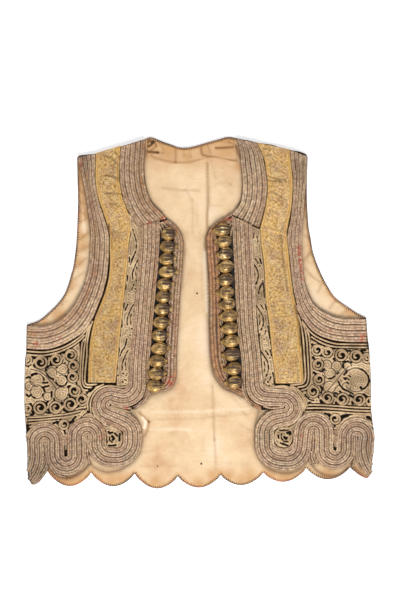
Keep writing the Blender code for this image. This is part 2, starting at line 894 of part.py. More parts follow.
def trimmed(obj, outline):
    """Cuts a front band off along the outline of the back, where it turns round the side fold."""
    count = len(outline)
    points = [(x, y, CUT_FROM) for x, y in outline] + [(x, y, CUT_TO) for x, y in outline]
    faces = [list(range(count)), list(range(2 * count - 1, count - 1, -1))]
    faces += [[i, (i + 1) % count, (i + 1) % count + count, i + count] for i in range(count)]
    cutter = mesh_object(obj.name + "_cutter", points, faces, "dark_wool")
    bpy.data.collections["Embroidered waistcoat"].objects.unlink(cutter)
    bpy.data.collections["Cutters"].objects.link(cutter)
    cutter.hide_render = True
    cutter.display_type = "WIRE"
    cut = obj.modifiers.new("Side fold", "BOOLEAN")
    cut.operation = "INTERSECT"
    cut.solver = "EXACT"
    cut.object = cutter


def make_buttons(side, rows, mesh):
    for number, (crown, point, y) in enumerate(rows, 1):
        button = placed(f"button_{side}_{number:02d}", mesh, "gilt_brass")
        lift = STRIP + SEAM_GAP + BUTTON_PROFILE[2][1] * BUTTON_FLATTEN
        height = on_front((crown + point) / 2, y) + lift
        button.location = (crown * MM, y * MM, height * MM)
        button.rotation_euler.z = 0.0 if point > crown else math.pi
        button.scale = (abs(point - crown) / BUTTON_PROFILE[-1][0], 1.0, 1.0)


def button_mesh():
    """The almond, turned about its length."""
    bm = bmesh.new()
    line = [bm.verts.new((x * MM, 0, r * MM)) for x, r in BUTTON_PROFILE]
    edges = [bm.edges.new(pair) for pair in zip(line, line[1:])]
    turn = {"cent": (0, 0, 0), "axis": (1, 0, 0), "steps": BUTTON_SIDES, "use_merge": True}
    bmesh.ops.spin(bm, geom=line + edges, angle=math.tau, **turn)
    bmesh.ops.holes_fill(bm, edges=bm.edges[:], sides=BUTTON_SIDES)
    bmesh.ops.scale(bm, vec=(1, 1, BUTTON_FLATTEN), verts=bm.verts[:])
    bmesh.ops.recalc_face_normals(bm, faces=bm.faces[:])
    mesh = bpy.data.meshes.new("button")
    bm.to_mesh(mesh)
    bm.free()
    return mesh


def make_front(side, tables, start, lean, free_side, last_heading, shoulder, side_fold):
    """One front with everything sewn on it. tables holds this side's tables by name."""
    free, inner = band_edges(belt(start, tables["turns"], last_heading), free_side, lean)
    outline = front_outline(shoulder, tables["neck"], tables["braid"], free, side_fold, tables["arm"])
    panel(f"front_{side}", outline, spread(outline), front_under, front_top, "dark_wool")
    corded(f"neck_band_{side}", tables["neck"], 2, NECK_CORDS)
    corded(f"armhole_band_{side}", tables["arm"], 2, ARM_CORDS)
    profile = section(FRONT_CORDS, BAND_CROWN, BAND_GROOVE, BAND_EDGE)
    band = strip(f"front_band_{side}", free, inner, lambda t: profile, on_front, "silver_cord")
    trimmed(band, back_outline())
    line = smooth(tables["braid"], 2)
    profile_3 = section(BRAID_CORDS, BRAID_CROWN, BRAID_GROOVE, BAND_EDGE)
    strip(f"edge_braid_{side}", line[:, :2], line[:, 2:], lambda t: profile_3, on_front, "silver_cord")
    line = smooth(tables["strip"], 1)
    flat = [(0.0, STRIP), (1.0, STRIP)]
    strip(f"button_strip_{side}", line[:, :2], line[:, 2:], lambda t: flat, on_front, "dark_strip")
    make_ribbon(f"shoulder_ribbon_{side}", tables["shoulder_ribbon"], True)
    make_ribbon(f"front_ribbon_{side}", tables["front_ribbon"], False)


def clear_scene():
    for obj in list(bpy.data.objects):
        bpy.data.objects.remove(obj, do_unlink=True)


def make_collections():
    for name in ("Embroidered waistcoat", "Cutters"):
        collection = bpy.data.collections.new(name)
        bpy.context.scene.collection.children.link(collection)
    bpy.data.collections["Cutters"].hide_render = True


def make_materials():
    for name, (red, green, blue, roughness, metallic) in MATERIALS.items():
        finish = bpy.data.materials.new(name)
        finish.use_nodes = True
        shader = finish.node_tree.nodes["Principled BSDF"]
        shader.inputs["Base Color"].default_value = (red, green, blue, 1)
        shader.inputs["Roughness"].default_value = roughness
        shader.inputs["Metallic"].default_value = metallic


clear_scene()
make_collections()
make_materials()
make_back()
left = {
    "turns": TURNS_L,
    "neck": NECK_BAND_L,
    "arm": ARM_BAND_L,
    "braid": EDGE_BRAID_L,
    "strip": BUTTON_STRIP_L,
    "shoulder_ribbon": SHOULDER_RIBBON_L,
    "front_ribbon": FRONT_RIBBON_L,
}
right = {
    "turns": TURNS_R,
    "neck": NECK_BAND_R,
    "arm": ARM_BAND_R,
    "braid": EDGE_BRAID_R,
    "strip": BUTTON_STRIP_R,
    "shoulder_ribbon": SHOULDER_RIBBON_R,
    "front_ribbon": FRONT_RIBBON_R,
}
shoulder, fold = smooth(SHOULDER_L, 1), smooth(SIDE_L, 1)
make_front("left", left, START_L, LEAN_L, 1, -TAIL_HEADING, shoulder, fold)
shoulder, fold = smooth(SHOULDER_R, 1)[::-1], smooth(SIDE_R, 1)[::-1]
make_front("right", right, START_R, LEAN_R, -1, TAIL_HEADING - math.pi, shoulder, fold)
almond = button_mesh()
make_buttons("left", BUTTONS_L, almond)
make_buttons("right", BUTTONS_R, almond)
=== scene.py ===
"""Embroidered waistcoat laid flat on its back: the looks of every piece, in the order it is put together."""

import math

import bmesh
import bpy
import numpy as np
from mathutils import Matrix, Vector, noise
from mathutils.geometry import delaunay_2d_cdt


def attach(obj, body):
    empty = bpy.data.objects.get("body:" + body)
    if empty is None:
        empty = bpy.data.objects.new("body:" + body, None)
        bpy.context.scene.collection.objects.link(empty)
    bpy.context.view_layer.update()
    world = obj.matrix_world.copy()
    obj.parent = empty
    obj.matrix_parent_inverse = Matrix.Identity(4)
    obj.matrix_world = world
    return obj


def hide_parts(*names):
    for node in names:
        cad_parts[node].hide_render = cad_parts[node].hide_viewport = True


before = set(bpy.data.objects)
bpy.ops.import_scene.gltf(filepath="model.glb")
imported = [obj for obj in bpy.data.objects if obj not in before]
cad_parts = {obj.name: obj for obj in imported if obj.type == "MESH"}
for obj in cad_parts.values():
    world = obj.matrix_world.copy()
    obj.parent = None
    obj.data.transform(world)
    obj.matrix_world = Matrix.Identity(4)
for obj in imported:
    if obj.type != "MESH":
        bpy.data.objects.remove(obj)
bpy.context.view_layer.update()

# --- Back and fronts ---------------------------------------------------------------------------------------
# The back and the two fronts are a near-black fulled woollen broadcloth, cut to shape with turned edges.
# They carry all the trimmings, and show only in the gaps between the cords and round the rims.

# Lengths in this file are millimetres, made metres where a mesh is written.
MM = 0.001


def linear(colour):
    """An sRGB hex colour as linear red, green, blue and alpha."""
    parts = [int(colour[i : i + 2], 16) / 255 for i in (1, 3, 5)]
    return [c / 12.92 if c <= 0.04045 else ((c + 0.055) / 1.055) ** 2.4 for c in parts] + [1.0]


def join(tree, node, sockets):
    """Sets a node's sockets, or links them from another node or from one of its outputs."""
    for name, value in sockets.items():
        if isinstance(value, bpy.types.Node):
            value = next(output for output in value.outputs if output.enabled)
        if isinstance(value, bpy.types.NodeSocket):
            tree.links.new(value, node.inputs[name])
        else:
            node.inputs[name].default_value = value


def add(tree, kind, sockets=None, **settings):
    """A node of this kind with its settings and its sockets."""
    node = tree.nodes.new("ShaderNode" + kind)
    for name, value in settings.items():
        setattr(node, name, value)
    join(tree, node, sockets or {})
    return node


def finish(name, **values):
    """A new material, its node tree and its shader, with values set on the shader's own sockets."""
    material = bpy.data.materials.new(name)
    material.use_nodes = True
    shader = material.node_tree.nodes["Principled BSDF"]
    for socket, value in values.items():
        shader.inputs[socket.replace("_", " ")].default_value = value
    return material, material.node_tree, shader


def ramp(tree, factor, *stops):
    """Colours along a factor: pairs of position and hex colour."""
    node = add(tree, "ValToRGB", {"Fac": factor})
    while len(node.color_ramp.elements) < len(stops):
        node.color_ramp.elements.new(0.5)
    for element, (position, colour) in zip(node.color_ramp.elements, stops):
        element.position = position
        element.color = linear(colour)
    return node.outputs["Color"]


def place(name, mesh, material, slot):
    """Puts a mesh in the scene as a piece of the waistcoat."""
    piece = bpy.data.objects.new(name, mesh)
    bpy.context.scene.collection.objects.link(piece)
    mesh.materials.clear()
    mesh.materials.append(material)
    mesh.polygons.foreach_set("use_smooth", [True] * len(mesh.polygons))
    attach(piece, "root")
    return piece


# Fulled wool: matt, a short felted nap that scatters light at its edges, hardly any weave to see.
NAP = 1.4
matt = {"Roughness": 0.95, "Specular_IOR_Level": 0.12, "Sheen_Weight": 0.02}
wool, tree, shader = finish("fulled_wool_broadcloth", **matt)
place_on = add(tree, "TexCoord").outputs["Object"]
nap = add(tree, "TexNoise", {"Vector": place_on, "Scale": 1 / (NAP * MM), "Detail": 3.0})
wear = add(tree, "TexNoise", {"Vector": place_on, "Scale": 45.0, "Detail": 4.0})
worn = ramp(tree, wear, (0.35, "#120B06"), (0.7, "#22160E"))
fibres = ramp(tree, nap, (0.3, "#0C0703"), (0.75, "#2E1E12"))
mixed = add(tree, "Mix", {0: 0.45, 6: worn, 7: fibres}, data_type="RGBA")
felt = add(tree, "Bump", {"Height": nap, "Strength": 0.5, "Distance": 0.0004})
join(tree, shader, {"Base Color": mixed, "Normal": felt})

# Width and length of each cut piece, and its area, in metres.
WOOL_CUTS = {
    "back": (0.453, 0.456, 0.168),
    "front_left": (0.205, 0.44, 0.056),
    "front_right": (0.215, 0.44, 0.059),
}
# Faces this close to one level, in radians, are joined before the edges are rounded.
LEVEL = 0.0005
for node, (width, length, area) in WOOL_CUTS.items():
    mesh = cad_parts[node].data.copy()
    bm = bmesh.new()
    bm.from_mesh(mesh)
    bmesh.ops.remove_doubles(bm, verts=bm.verts[:], dist=1e-5)
    bmesh.ops.dissolve_limit(bm, angle_limit=LEVEL, verts=bm.verts[:], edges=bm.edges[:])
    bm.to_mesh(mesh)
    bm.free()
    mesh.attributes.remove(mesh.attributes["custom_normal"])
    cloth = place(node + "_wool", mesh, wool, "wool")
    cloth.data.polygons.foreach_set("use_smooth", [False] * len(mesh.polygons))
    edge = cloth.modifiers.new("Turned edge", "BEVEL")
    edge.width = 0.0006
    edge.segments = 2
    edge.limit_method = "ANGLE"
    edge.angle_limit = math.radians(50)
    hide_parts(node)

# --- Lining ------------------------------------------------------------------------------------------------
# The lining is a plain-woven cream cotton, cut like the back with a scalloped hem and whipped to it. It
# has yellowed at its edges and along old folds, and is creased where it was pressed. Painted shadow darkens
# it along the edges of the fronts, and its folds carry painted shade and painted highlights.

# Left shoulder fold, from the armhole to the neck.
# x, y
SHOULDER_L = (
    (-158.6, 200.3), (-156.7, 203.6), (-147.6, 204.9), (-135.8, 206.2), (-126.8, 208.1), (-112.5, 213.1),
    (-103.4, 215.3), (-95.5, 217.2), (-83.9, 221.1), (-70.2, 225.4),
)

# Right shoulder fold, from the neck to the armhole.
# x, y
SHOULDER_R = (
    (47.5, 226.5), (55.2, 224.9), (65.7, 223.1), (74.8, 220.5), (94.2, 217.9), (104.7, 214),
    (117.7, 211.1), (130.7, 208.8), (138.5, 205.4), (140.1, 202.3),
)

# Back neck edge, from the left shoulder to the right.
# x, y
NECK = (
    (-70.2, 225.4), (-64.4, 227.6), (-57.9, 226.1), (-51.4, 223.1), (-38.4, 218.5), (-25.4, 214.2),
    (-12.3, 214.6), (0.7, 217.9), (13.7, 221.8), (26.7, 225.3), (37.1, 228), (47.5, 226.5),
)

# Left armhole edge of the back, upward from the side.
# x, y
ARMHOLE_L = (
    (-224.2, -16.1), (-208.7, -10.9), (-194.3, 0.8), (-184, 11.2), (-176.2, 21.6), (-171, 33.3),
    (-167.1, 46.3), (-163.8, 58), (-161.2, 74.9), (-159.2, 94.4), (-158, 120.4), (-157.3, 146.4),
    (-158, 172.4), (-158.6, 200.3),
)

# The right armhole edge, downward from the shoulder.
# x, y
ARMHOLE_R = (
    (140.1, 202.3), (139.1, 172.4), (139.1, 146.4), (140.1, 126.9), (141.4, 110), (144.3, 94.4),
    (146.2, 81.4), (150.2, 68.4), (155.3, 55.4), (160.6, 43.7), (167.1, 32), (174.8, 20.3), (184, 12.5),
    (195.7, 4.7), (204.8, -1.4), (216.5, -7),
)

# Left side fold, where the front turns round to the back, upward from the hem.
# x, y
SIDE_L = (
    (-221.7, -217), (-223.2, -204.6), (-223.7, -176), (-225.6, -146.1), (-226.8, -113.6), (-226.8, -81.1),
    (-225.2, -55.1), (-224.2, -16.1),
)

# Right side fold, downward to the hem.
# x, y
SIDE_R = (
    (216.5, -7), (218, -29.1), (220.3, -48.6), (222.2, -81.1), (222.7, -121.4), (224.2, -139.6),
    (226.6, -160.4), (226.3, -176), (224.2, -192.9), (222.4, -209.8),
)

# Hem of the back: the points between its scallops.
# x, y, depth of the scallop to its right
CUSPS = (
    (-197.9, -205.3, 18.9), (-141.1, -207.2, 17.6), (-84.5, -208.5, 17.9), (-28.2, -212, 15.9),
    (27.6, -210.3, 15.1), (83.2, -207.2, 15.2), (139.1, -201.4, 15.3), (195.7, -200.7, 0),
)

# Half scallop at the right side, from its fold inward.
# x, y
TAIL_R = (
    (222.4, -209.8),
    (217.8, -215.0),
    (211.2, -212.4),
    (204.5, -208.0),
    (195.7, -200.7),
)

# Half scallop at the left side, outward to its fold.
# x, y
TAIL_L = ((-197.9, -205.3), (-202.9, -212), (-209.2, -220), (-217.1, -223.5), (-221.7, -217))

# Creases pressed into the lining.
# from x, from y, to x, to y, height, half width
CREASES = (
    (-68.2, 201, -54, 177.6, 1.4, 5), (11.1, 198.4, 11.8, 117.8, 0.9, 5),
    (20.2, -116.2, 22.8, -189, 0.6, 6), (-61.8, -130.5, -2, -138.3, 0.7, 7),
    (-2, -138.3, 60.5, -134.4, 0.6, 7), (-64.4, -151.3, -63.1, -129.2, 1.4, 4),
    (-8.5, 172.4, -27.9, 128.2, 0.7, 8), (31.9, 185.4, 18.9, 151.6, 0.8, 7),
    (-152.1, 136, -155.9, 81.4, 0.6, 4),
)

# Old folds: how dark their line of dirt and painted shade is, below 0 where a painted highlight lies along
# the ridge, then x and y of each of its points.
FOLDS = (
    (0.45, -156.7, 177.6, -147.6, 171.1), (0.4, -155.9, 159.4, -146.2, 151.6),
    (0.45, -155.3, 143.8, -145, 139.9), (0.35, -154.7, 117.8, -142.3, 125.6),
    (0.4, -156.7, 94.4, -143.7, 104.8), (0.35, -159.2, 78.8, -145, 86.6), (0.4, -161.8, 58, -147.6, 71),
    (0.35, -168.3, 39.8, -150.2, 52.8), (0.4, -178.8, 21.6, -165.8, 32), (0.35, -194.3, 6, -178.8, 11.2),
    (0.45, 138.5, 99.6, 146.2, 94.4), (0.5, 134.6, 65.8, 142.3, 75.7, 147.6, 78.8),
    (0.45, 137.2, 58, 146.2, 47.6, 156.7, 39.8), (0.35, 151.5, 65.8, 154.1, 52.8),
    (0.4, 159.2, 37.2, 154.1, 26.8), (0.4, 177.5, 16.4, 169.7, 6), (0.35, 193.1, 4.7, 182.7, -4.4),
    (-0.4, -152.8, 133.4, -150.2, 104.8), (-0.35, 148.8, 81.4, 156.7, 58),
    (0.75, 10.5, 194.5, 11.1, 159.4, 11.1, 139.9, 10, 126.9, 10.3, 110), (0.3, 9, 107.4, 8.2, 86.6),
    (0.2, 14.3, 198.4, 17.6, 188, 20.9, 175), (0.22, -9.1, 146.4, -8.7, 126.9, -9, 104.8),
    (0.18, -3.8, 142.5, -3.5, 110), (0.16, 1.2, 112.6, 2, 65.8, 4.5, 16.4),
    (0.3, -47.5, 162, -31.9, 160.2, -16.2, 159.1, -0.7, 158.9),
    (0.22, -18.2, 158.7, -13.7, 152.9, -9.8, 146.4), (0.18, 16.2, 139.2, 29.2, 139.5),
    (0.14, 17.6, 163.3, 24.1, 168, 37.1, 168.5, 41, 166.7), (-0.4, 6.6, 78.8, 7.9, 42.4, 9.2, 0.8),
    (0.42, 16.8, -95.4, 17.6, -113.6, 18.3, -139.6, 19.4, -165.6),
    (0.32, 19.4, -165.6, 20.7, -185.1, 21.4, -204.6),
    (-0.35, -61.8, -129.9, -25.4, -129.9, 13.7, -127.9, 63.1, -125.3),
    (0.2, -61.8, -139.6, -25.4, -138.3, 17.6, -136.4, 65.7, -131.2),
    (-0.35, -64.4, -152, -38.4, -152.1, -12.3, -152.6), (0.8, -78.4, -130, -72.2, -136.2, -65.7, -142.2),
    (0.6, -65.7, -142.2, -67.7, -152.6, -71.4, -160.4), (-0.9, -74.2, -136.4, -70.3, -142.2, -71.9, -150),
    (0.2, 42.2, -108.4, 50.1, -118.8, 60.5, -134.4), (0.18, 52.6, -146.1, 65.7, -153.3),
    (0.15, -77.4, -199.4, -55.2, -200.2, -27.9, -198.1), (0.13, -5.9, -193.7, 24.1, -194.7, 65.7, -198.1),
    (0.13, -38.4, -157.8, -31.9, -154.7, -22.8, -154.7, -16.2, -159.1, -12.3, -169.5),
    (0.11, 3.2, -181.2, 5.1, -165.6, 8.5, -157.8), (0.3, -155.9, 133.4, -150.2, 128.2),
    (0.4, -154.7, 185.4, -150.2, 164.6), (0.3, 142.3, 99.6, 155.3, 65.8), (0.3, 146.2, 65.8, 159.2, 55.4),
    (0.25, 169.7, 29.4, 189.2, 6), (0.3, -154.1, 138.6, -154.8, 112.6),
    (0.25, -191.8, -4.4, -173.6, 16.4), (0.25, 145, 86.6, 141.1, 65.8), (0.22, 154.1, 50.2, 169.7, 37.2),
)

# Places where the cotton has gone brown: stains, and painted shade beside the fronts and along the hem.
# x, y, reach
STAINS_AND_SHADE = (
    (-150.2, 156.8, 11.7), (-148.8, 130.8, 10.4), (-151.5, 86.6, 9.1), (-158, 65.8, 9.1),
    (-168.3, 37.2, 9.1), (-155.3, 191.9, 11.7), (-154.1, 169.8, 11.7), (-152.8, 146.4, 10.4),
    (-151.5, 125.6, 9.1), (-152.8, 99.6, 7.8), (-67, 214, 18.2), (-41, 211.4, 15.6), (34.5, 211.4, 20.8),
    (7.2, 211.4, 15.6), (-16.2, 203.6, 11.7), (-181.3, -4.4, 10.4), (-202.2, -12.2, 7.8),
    (-212.6, -14.8, 6.5), (147.6, 94.4, 6.5), (169.7, 28.1, 6.5), (195.7, 0.8, 7.8), (50.1, 190.6, 7.8),
    (-113.8, -218.9, 14.3), (-57.9, -220.2, 9.1), (-0.7, -222.8, 9.1), (55.2, -220.2, 13),
    (111.2, -217.6, 15.6), (167.1, -213.7, 14.3), (-171, -218.9, 15.6), (-211.2, -217.6, 10.4),
    (211.2, -209.8, 11.7), (37.1, -212.4, 11.7), (65.7, -215, 13), (91.7, -212.4, 11.7),
    (-93, -218.9, 11.7), (120.2, -216.3, 13), (141.1, -220.2, 10.4), (-155.3, -218.9, 10.4),
    (65.7, -221.5, 11.7), (-65.7, 223.1, 10.4), (-181.3, -215, 13), (-199.6, -209.8, 10.4),
    (-68.2, 208.8, 7.8), (-194.3, -212.4, 9.1), (-203.5, -209.8, 9.1), (117.7, -216.3, 14.3),
    (129.3, -213.7, 10.4), (108.5, -215, 10.4), (60.5, -221.5, 13), (73.5, -218.9, 9.1),
    (-102, -217.6, 13), (-87.8, -217.6, 10.4), (197, -208.5, 9.1), (204.8, -204.6, 7.8),
    (27.9, -209.8, 7.8), (17.6, -211.1, 7.8), (-132, -218.9, 9.1),
)

# Worn holes in the cotton.
# x, y, radius
HOLES = (
    (-3.2, 25.1, 1.3),
    (2.3, -196.8, 1.4),
    (-54.6, -199.8, 0.9),
)

# Edges of the fronts, along which painted shadow darkens the lining: how dark, then x and y of each point.
FRONT_SHADOW_LINES = (
    (1, -71.1, 211.4, -73.2, 195.8, -72.7, 178.9, -70.3, 163.3, -65.7, 149, -58.5, 138.2, -50.1, 130.3),
    (0.4, -50.1, 130.3, -41.5, 120.9, -28.7, 110.4, -23, 100.6),
    (0.6, -23, 100.6, -20.2, 87.9, -21.4, 63.2, -24.6, 29.4),
    (0.45, -24.6, 29.4, -26.8, -7, -29, -42.1, -29.8, -68.1, -30, -83.7, -33.9, -96.2, -42.2, -102.3,
        -54, -105.4, -63.6, -108.4, -74, -119.1),
    (0.5, -86.2, -127.9, -78.7, -140.9, -74.8, -153.9, -74.2, -166.9, -77.4, -181.2, -86.5, -194.2,
        -98.2, -202.8),
    (0.9, 48, 216.6, 51.9, 204.9, 54.5, 194.5, 55.8, 180.2, 56.4, 163.3, 54.3, 147, 49.4, 136.6),
    (0.3, 49.4, 136.6, 41.6, 127.8, 29.2, 121.9, 13.7, 109.2),
    (0.9, 13.7, 109.2, 8.5, 98.3, 7.9, 86.6, 9.8, 63.2, 11.6, 29.4, 12.2, -9.6, 13.1, -38.2,
        14.7, -61.6, 17.8, -78.5, 23.8, -89.7, 32.6, -99.1, 44.9, -103.7, 56, -109.2),
    (0.3, 56, -109.2, 72.9, -124),
    (0.7, 77.4, -129.2, 72.7, -144.8, 71.6, -160.4, 72.2, -174.7, 76.8, -189, 85.9, -200.7, 99.5, -207.2),
    (0.85, -155.3, 188, -151.5, 172.4, -146.9, 146.4, -143.7, 123, -141.7, 100.9),
    (0.3, -141.7, 100.9, -142.3, 85.3, -143.7, 65.8, -146.2, 48.9),
    (0.8, 139.8, 201, 138.5, 172.4, 136.6, 139.9, 133.2, 117.8, 130.1, 97, 131.2, 78.8, 133.2, 61.9,
        135.3, 42.4, 139.8, 29.4, 145, 16.4),
    (0.4, 145, 16.4, 154.1, 6, 164.5, -0.5, 176.2, -5.7),
    (0.9, -196.2, -200.7, -190.5, -208.5, -181.3, -214, -168.3, -214.8, -155.3, -209, -146.2, -200.7,
        -142.3, -195.5),
    (0.7, -142.3, -195.5, -137.2, -201.2, -126.8, -206.4, -116.4, -207.7, -103.4, -204.6, -90.4, -196.8),
    (0.7, 99.5, -207.2, 109.9, -209, 122.9, -207.7, 134.6, -200.7, 141.1, -192.9),
    (0.8, 143.7, -192.9, 150.2, -203.3, 159.2, -209.8, 171, -212.9, 182.7, -210.3, 193.1, -202.8),
    (0.7, 197, -198.1, 204.8, -204.6, 212.6, -213.7),
)

# How wide a fold shows and how softly it ends, how brown a stain or its painted shade gets, and how the
# painted shadow by the fronts fades from its line.
FOLD_WIDTH, FOLD_EDGE = 2.4, 1.1
MOST_BROWNED = 0.8
FRONT_SHADOW_REACH, FRONT_SHADOW_FALL = 2.6, 1.4
# A scallop is a half wave to this power, which makes it a little fuller.
SCALLOP_STEPS, ROUNDED = 14, 0.8
LEAST_STEP = 0.8
LINING_UNDER, LINING_TOP = 2.3, 3.3
# The cloth's points stand this far apart, and no nearer its edge than a part of that.
LINING_POINTS, CLEAR_OF_EDGE = 3.2, 0.6
# Slack of the lining: how high, and how far apart its waves are across and along.
SLACK, SLACK_X, SLACK_Y = 0.22, 34, 22


def smooth(rows, steps):
    """A smooth line through the rows of a table, with this many steps between two rows."""
    rows = np.array(rows, float)
    ends = np.vstack([2 * rows[0] - rows[1], rows, 2 * rows[-1] - rows[-2]])
    line = []
    for a, b, c, d in zip(ends, ends[1:], ends[2:], ends[3:]):
        for t in np.arange(steps) / steps:
            bend = t * (2 * a - 5 * b + 4 * c - d + t * (3 * b - a - 3 * c + d))
            line.append(b + 0.5 * t * (c - a + bend))
    return np.array(line + [rows[-1]])


def distances(line, points, closed=False):
    """Distance from each point to the nearest part of a line, and whether a closed line goes round it."""
    ends = np.roll(line, -1, axis=0) if closed else line[1:]
    nearest = np.full(len(points), 1e9)
    odd = np.zeros(len(points), bool)
    for a, b in zip(line, ends):
        side = b - a
        along = np.clip((points - a) @ side / max(side @ side, 1e-9), 0, 1)
        nearest = np.minimum(nearest, np.hypot(*(a + along[:, None] * side - points).T))
        if closed and a[1] != b[1]:
            right = points[:, 0] < a[0] + (points[:, 1] - a[1]) * side[0] / side[1]
            odd ^= ((a[1] > points[:, 1]) != (b[1] > points[:, 1])) & right
    return nearest, odd


def line_of(row):
    """The points of a line, from a row of their x and y."""
    return np.array(row, float).reshape(-1, 2)


def spots_of(mesh):
    """Every point of a mesh, in metres."""
    spots = np.empty(3 * len(mesh.vertices))
    mesh.vertices.foreach_get("co", spots)
    return spots.reshape(-1, 3)


def mark(mesh, name, values):
    """Writes a value at each point of a mesh, for its material to read."""
    mesh.attributes.new(name, "FLOAT", "POINT").data.foreach_set("value", values)


def cut_cloth(name, outline, spacing, under, over, extra=()):
    """A cut piece of cloth: rows of points inside an outline, with under and over giving its two sides."""
    low, high = outline.min(0), outline.max(0)
    across, up = np.meshgrid(np.arange(low[0], high[0], spacing), np.arange(low[1], high[1], spacing))
    grid = np.column_stack([across.ravel(), up.ravel()])
    apart, round_it = distances(outline, grid, True)
    inner = np.vstack([grid[round_it & (apart > spacing * CLEAR_OF_EDGE)], *extra])
    flat = [Vector(p) for p in np.vstack([outline, inner])]
    spots, _, tops, *_ = delaunay_2d_cdt(flat, [], [list(range(len(outline)))], 1, 1e-4)
    spots = np.array(spots)
    count = len(spots)
    points = np.vstack([np.column_stack([spots, side(spots)]) for side in (over, under)])
    rim = {}
    for face in tops:
        for pair in zip(face, face[1:] + face[:1]):
            if rim.pop(pair[::-1], None) is None:
                rim[pair] = [pair[1], pair[0], pair[0] + count, pair[1] + count]
    below = [[i + count for i in face[::-1]] for face in tops]
    mesh = bpy.data.meshes.new(name)
    mesh.from_pydata((points * MM).tolist(), [], [list(f) for f in tops] + below + list(rim.values()))
    mark(mesh, "edge", np.tile(distances(outline, spots, True)[0], 2))
    return mesh


def garment_outline():
    """The edge of the back and its lining, from the left side fold up, round and back along the hem."""
    sides = (SIDE_L, ARMHOLE_L, SHOULDER_L, NECK, SHOULDER_R, ARMHOLE_R, SIDE_R, TAIL_R)
    hem = []
    for (x1, y1, depth), (x0, y0, _) in zip(CUSPS[-2::-1], CUSPS[::-1]):
        for t in np.arange(SCALLOP_STEPS) / SCALLOP_STEPS:
            hem.append((x0 + (x1 - x0) * t, y0 + (y1 - y0) * t - depth * math.sin(math.pi * t) ** ROUNDED))
    line = np.vstack([smooth(rows, 3) for rows in sides] + [hem + [CUSPS[0][:2]], smooth(TAIL_L, 3)])
    apart = np.hypot(*(line - np.roll(line, 1, axis=0)).T)
    return line[apart > LEAST_STEP]


def offsets(count):
    """Points round a circle of radius 1."""
    turn = np.arange(count) * math.tau / count
    return np.column_stack([np.cos(turn), np.sin(turn)])


def lining_over(spots):
    """Height of the lining's top: pressed creases, and the slack of the cloth between them."""
    rise = np.zeros(len(spots))
    for x0, y0, x1, y1, top, half in CREASES:
        run = np.array([x1 - x0, y1 - y0])
        length = np.hypot(*run)
        along = (spots - [x0, y0]) @ run / length
        off = np.abs((spots - [x0, y0]) @ [-run[1], run[0]]) / length
        ends = np.clip(4 * np.minimum(along, length - along) / length, 0, 1)
        rise = np.maximum(rise, top * np.clip(1 - off / half, 0, 1) ** 1.5 * ends)
    slack = [noise.noise(Vector((x / SLACK_X, y / SLACK_Y, 3.0))) for x, y in spots]
    return LINING_TOP + rise + SLACK * np.array(slack)


def lining_under(spots):
    """The lining's underside, which is level."""
    return np.full(len(spots), LINING_UNDER)


def marked(mesh, folds, age):
    """Writes where folds, stains, painted shadow and shade, painted highlights and holes show on the cotton.
    """
    spots = spots_of(mesh)[:, :2] / MM
    fold, front_shadow, hole = np.zeros((3, len(spots)))
    aged = np.full(len(spots), age)
    for strength, *line in folds:
        apart = distances(smooth(line_of(line), 4), spots)[0]
        fold += strength * np.clip(FOLD_EDGE - apart / FOLD_WIDTH, 0, 1)
    for x, y, reach in STAINS_AND_SHADE:
        apart = np.hypot(spots[:, 0] - x, spots[:, 1] - y)
        aged = np.maximum(aged, MOST_BROWNED * np.exp(-((apart / reach) ** 2)))
    for strength, *line in FRONT_SHADOW_LINES:
        apart = distances(smooth(line_of(line), 3), spots)[0]
        front_shadow = np.maximum(front_shadow, strength * np.exp(-((apart / FRONT_SHADOW_REACH) ** FRONT_SHADOW_FALL)))
    for x, y, radius in HOLES:
        hole = np.maximum(hole, np.hypot(spots[:, 0] - x, spots[:, 1] - y) < radius)
    for name, values in (("fold", fold), ("aged", aged), ("shade_darkened", front_shadow), ("hole", hole)):
        mark(mesh, name, values)


# Plain-woven cotton, washed and aged: yellowing comes in soft patches and gathers at the cut edges, and
# the weave is drawn at 1.6 mm so that it shows. Pressing leaves fine crinkles across the weave.
THREAD = 1.6
cotton, tree, shader = finish("aged_plain_woven_cotton", Roughness=0.88, Sheen_Weight=0.12)
place_on = add(tree, "TexCoord").outputs["Object"]
READ = ("edge", "aged", "shade_darkened", "fold", "hole")
edge, old, front_shadow, fold, hole = [add(tree, "Attribute", attribute_name=name).outputs["Fac"] for name in READ]
patches = add(tree, "TexNoise", {"Vector": place_on, "Scale": 11.0, "Detail": 7.0, "Roughness": 0.66})
yellows = ((0.30, "#CBA176"), (0.42, "#DCBA92"), (0.52, "#E4C69E"), (0.64, "#EBD0B0"))
aged = ramp(tree, patches, *yellows)
spread = add(tree, "Math", {0: patches, 1: 14.0, 2: edge}, operation="MULTIPLY_ADD")
near = add(tree, "MapRange", {"Value": spread, "From Min": 6.0, "From Max": 11.5})
# Stains brown the cotton, and some of them are painted shade.
stained_and_shaded = add(tree, "Mix", {0: old, 6: aged, 7: linear("#C28F58")}, data_type="RGBA")
used = add(tree, "Mix", {0: near, 6: linear("#C6955E"), 7: stained_and_shaded}, data_type="RGBA")
ridge_highlight = add(tree, "Math", {0: fold, 1: -1.0}, operation="MULTIPLY")
sharp_fold_shade = add(tree, "MapRange", {"Value": fold, "From Min": 0.9, "From Max": 2.0})
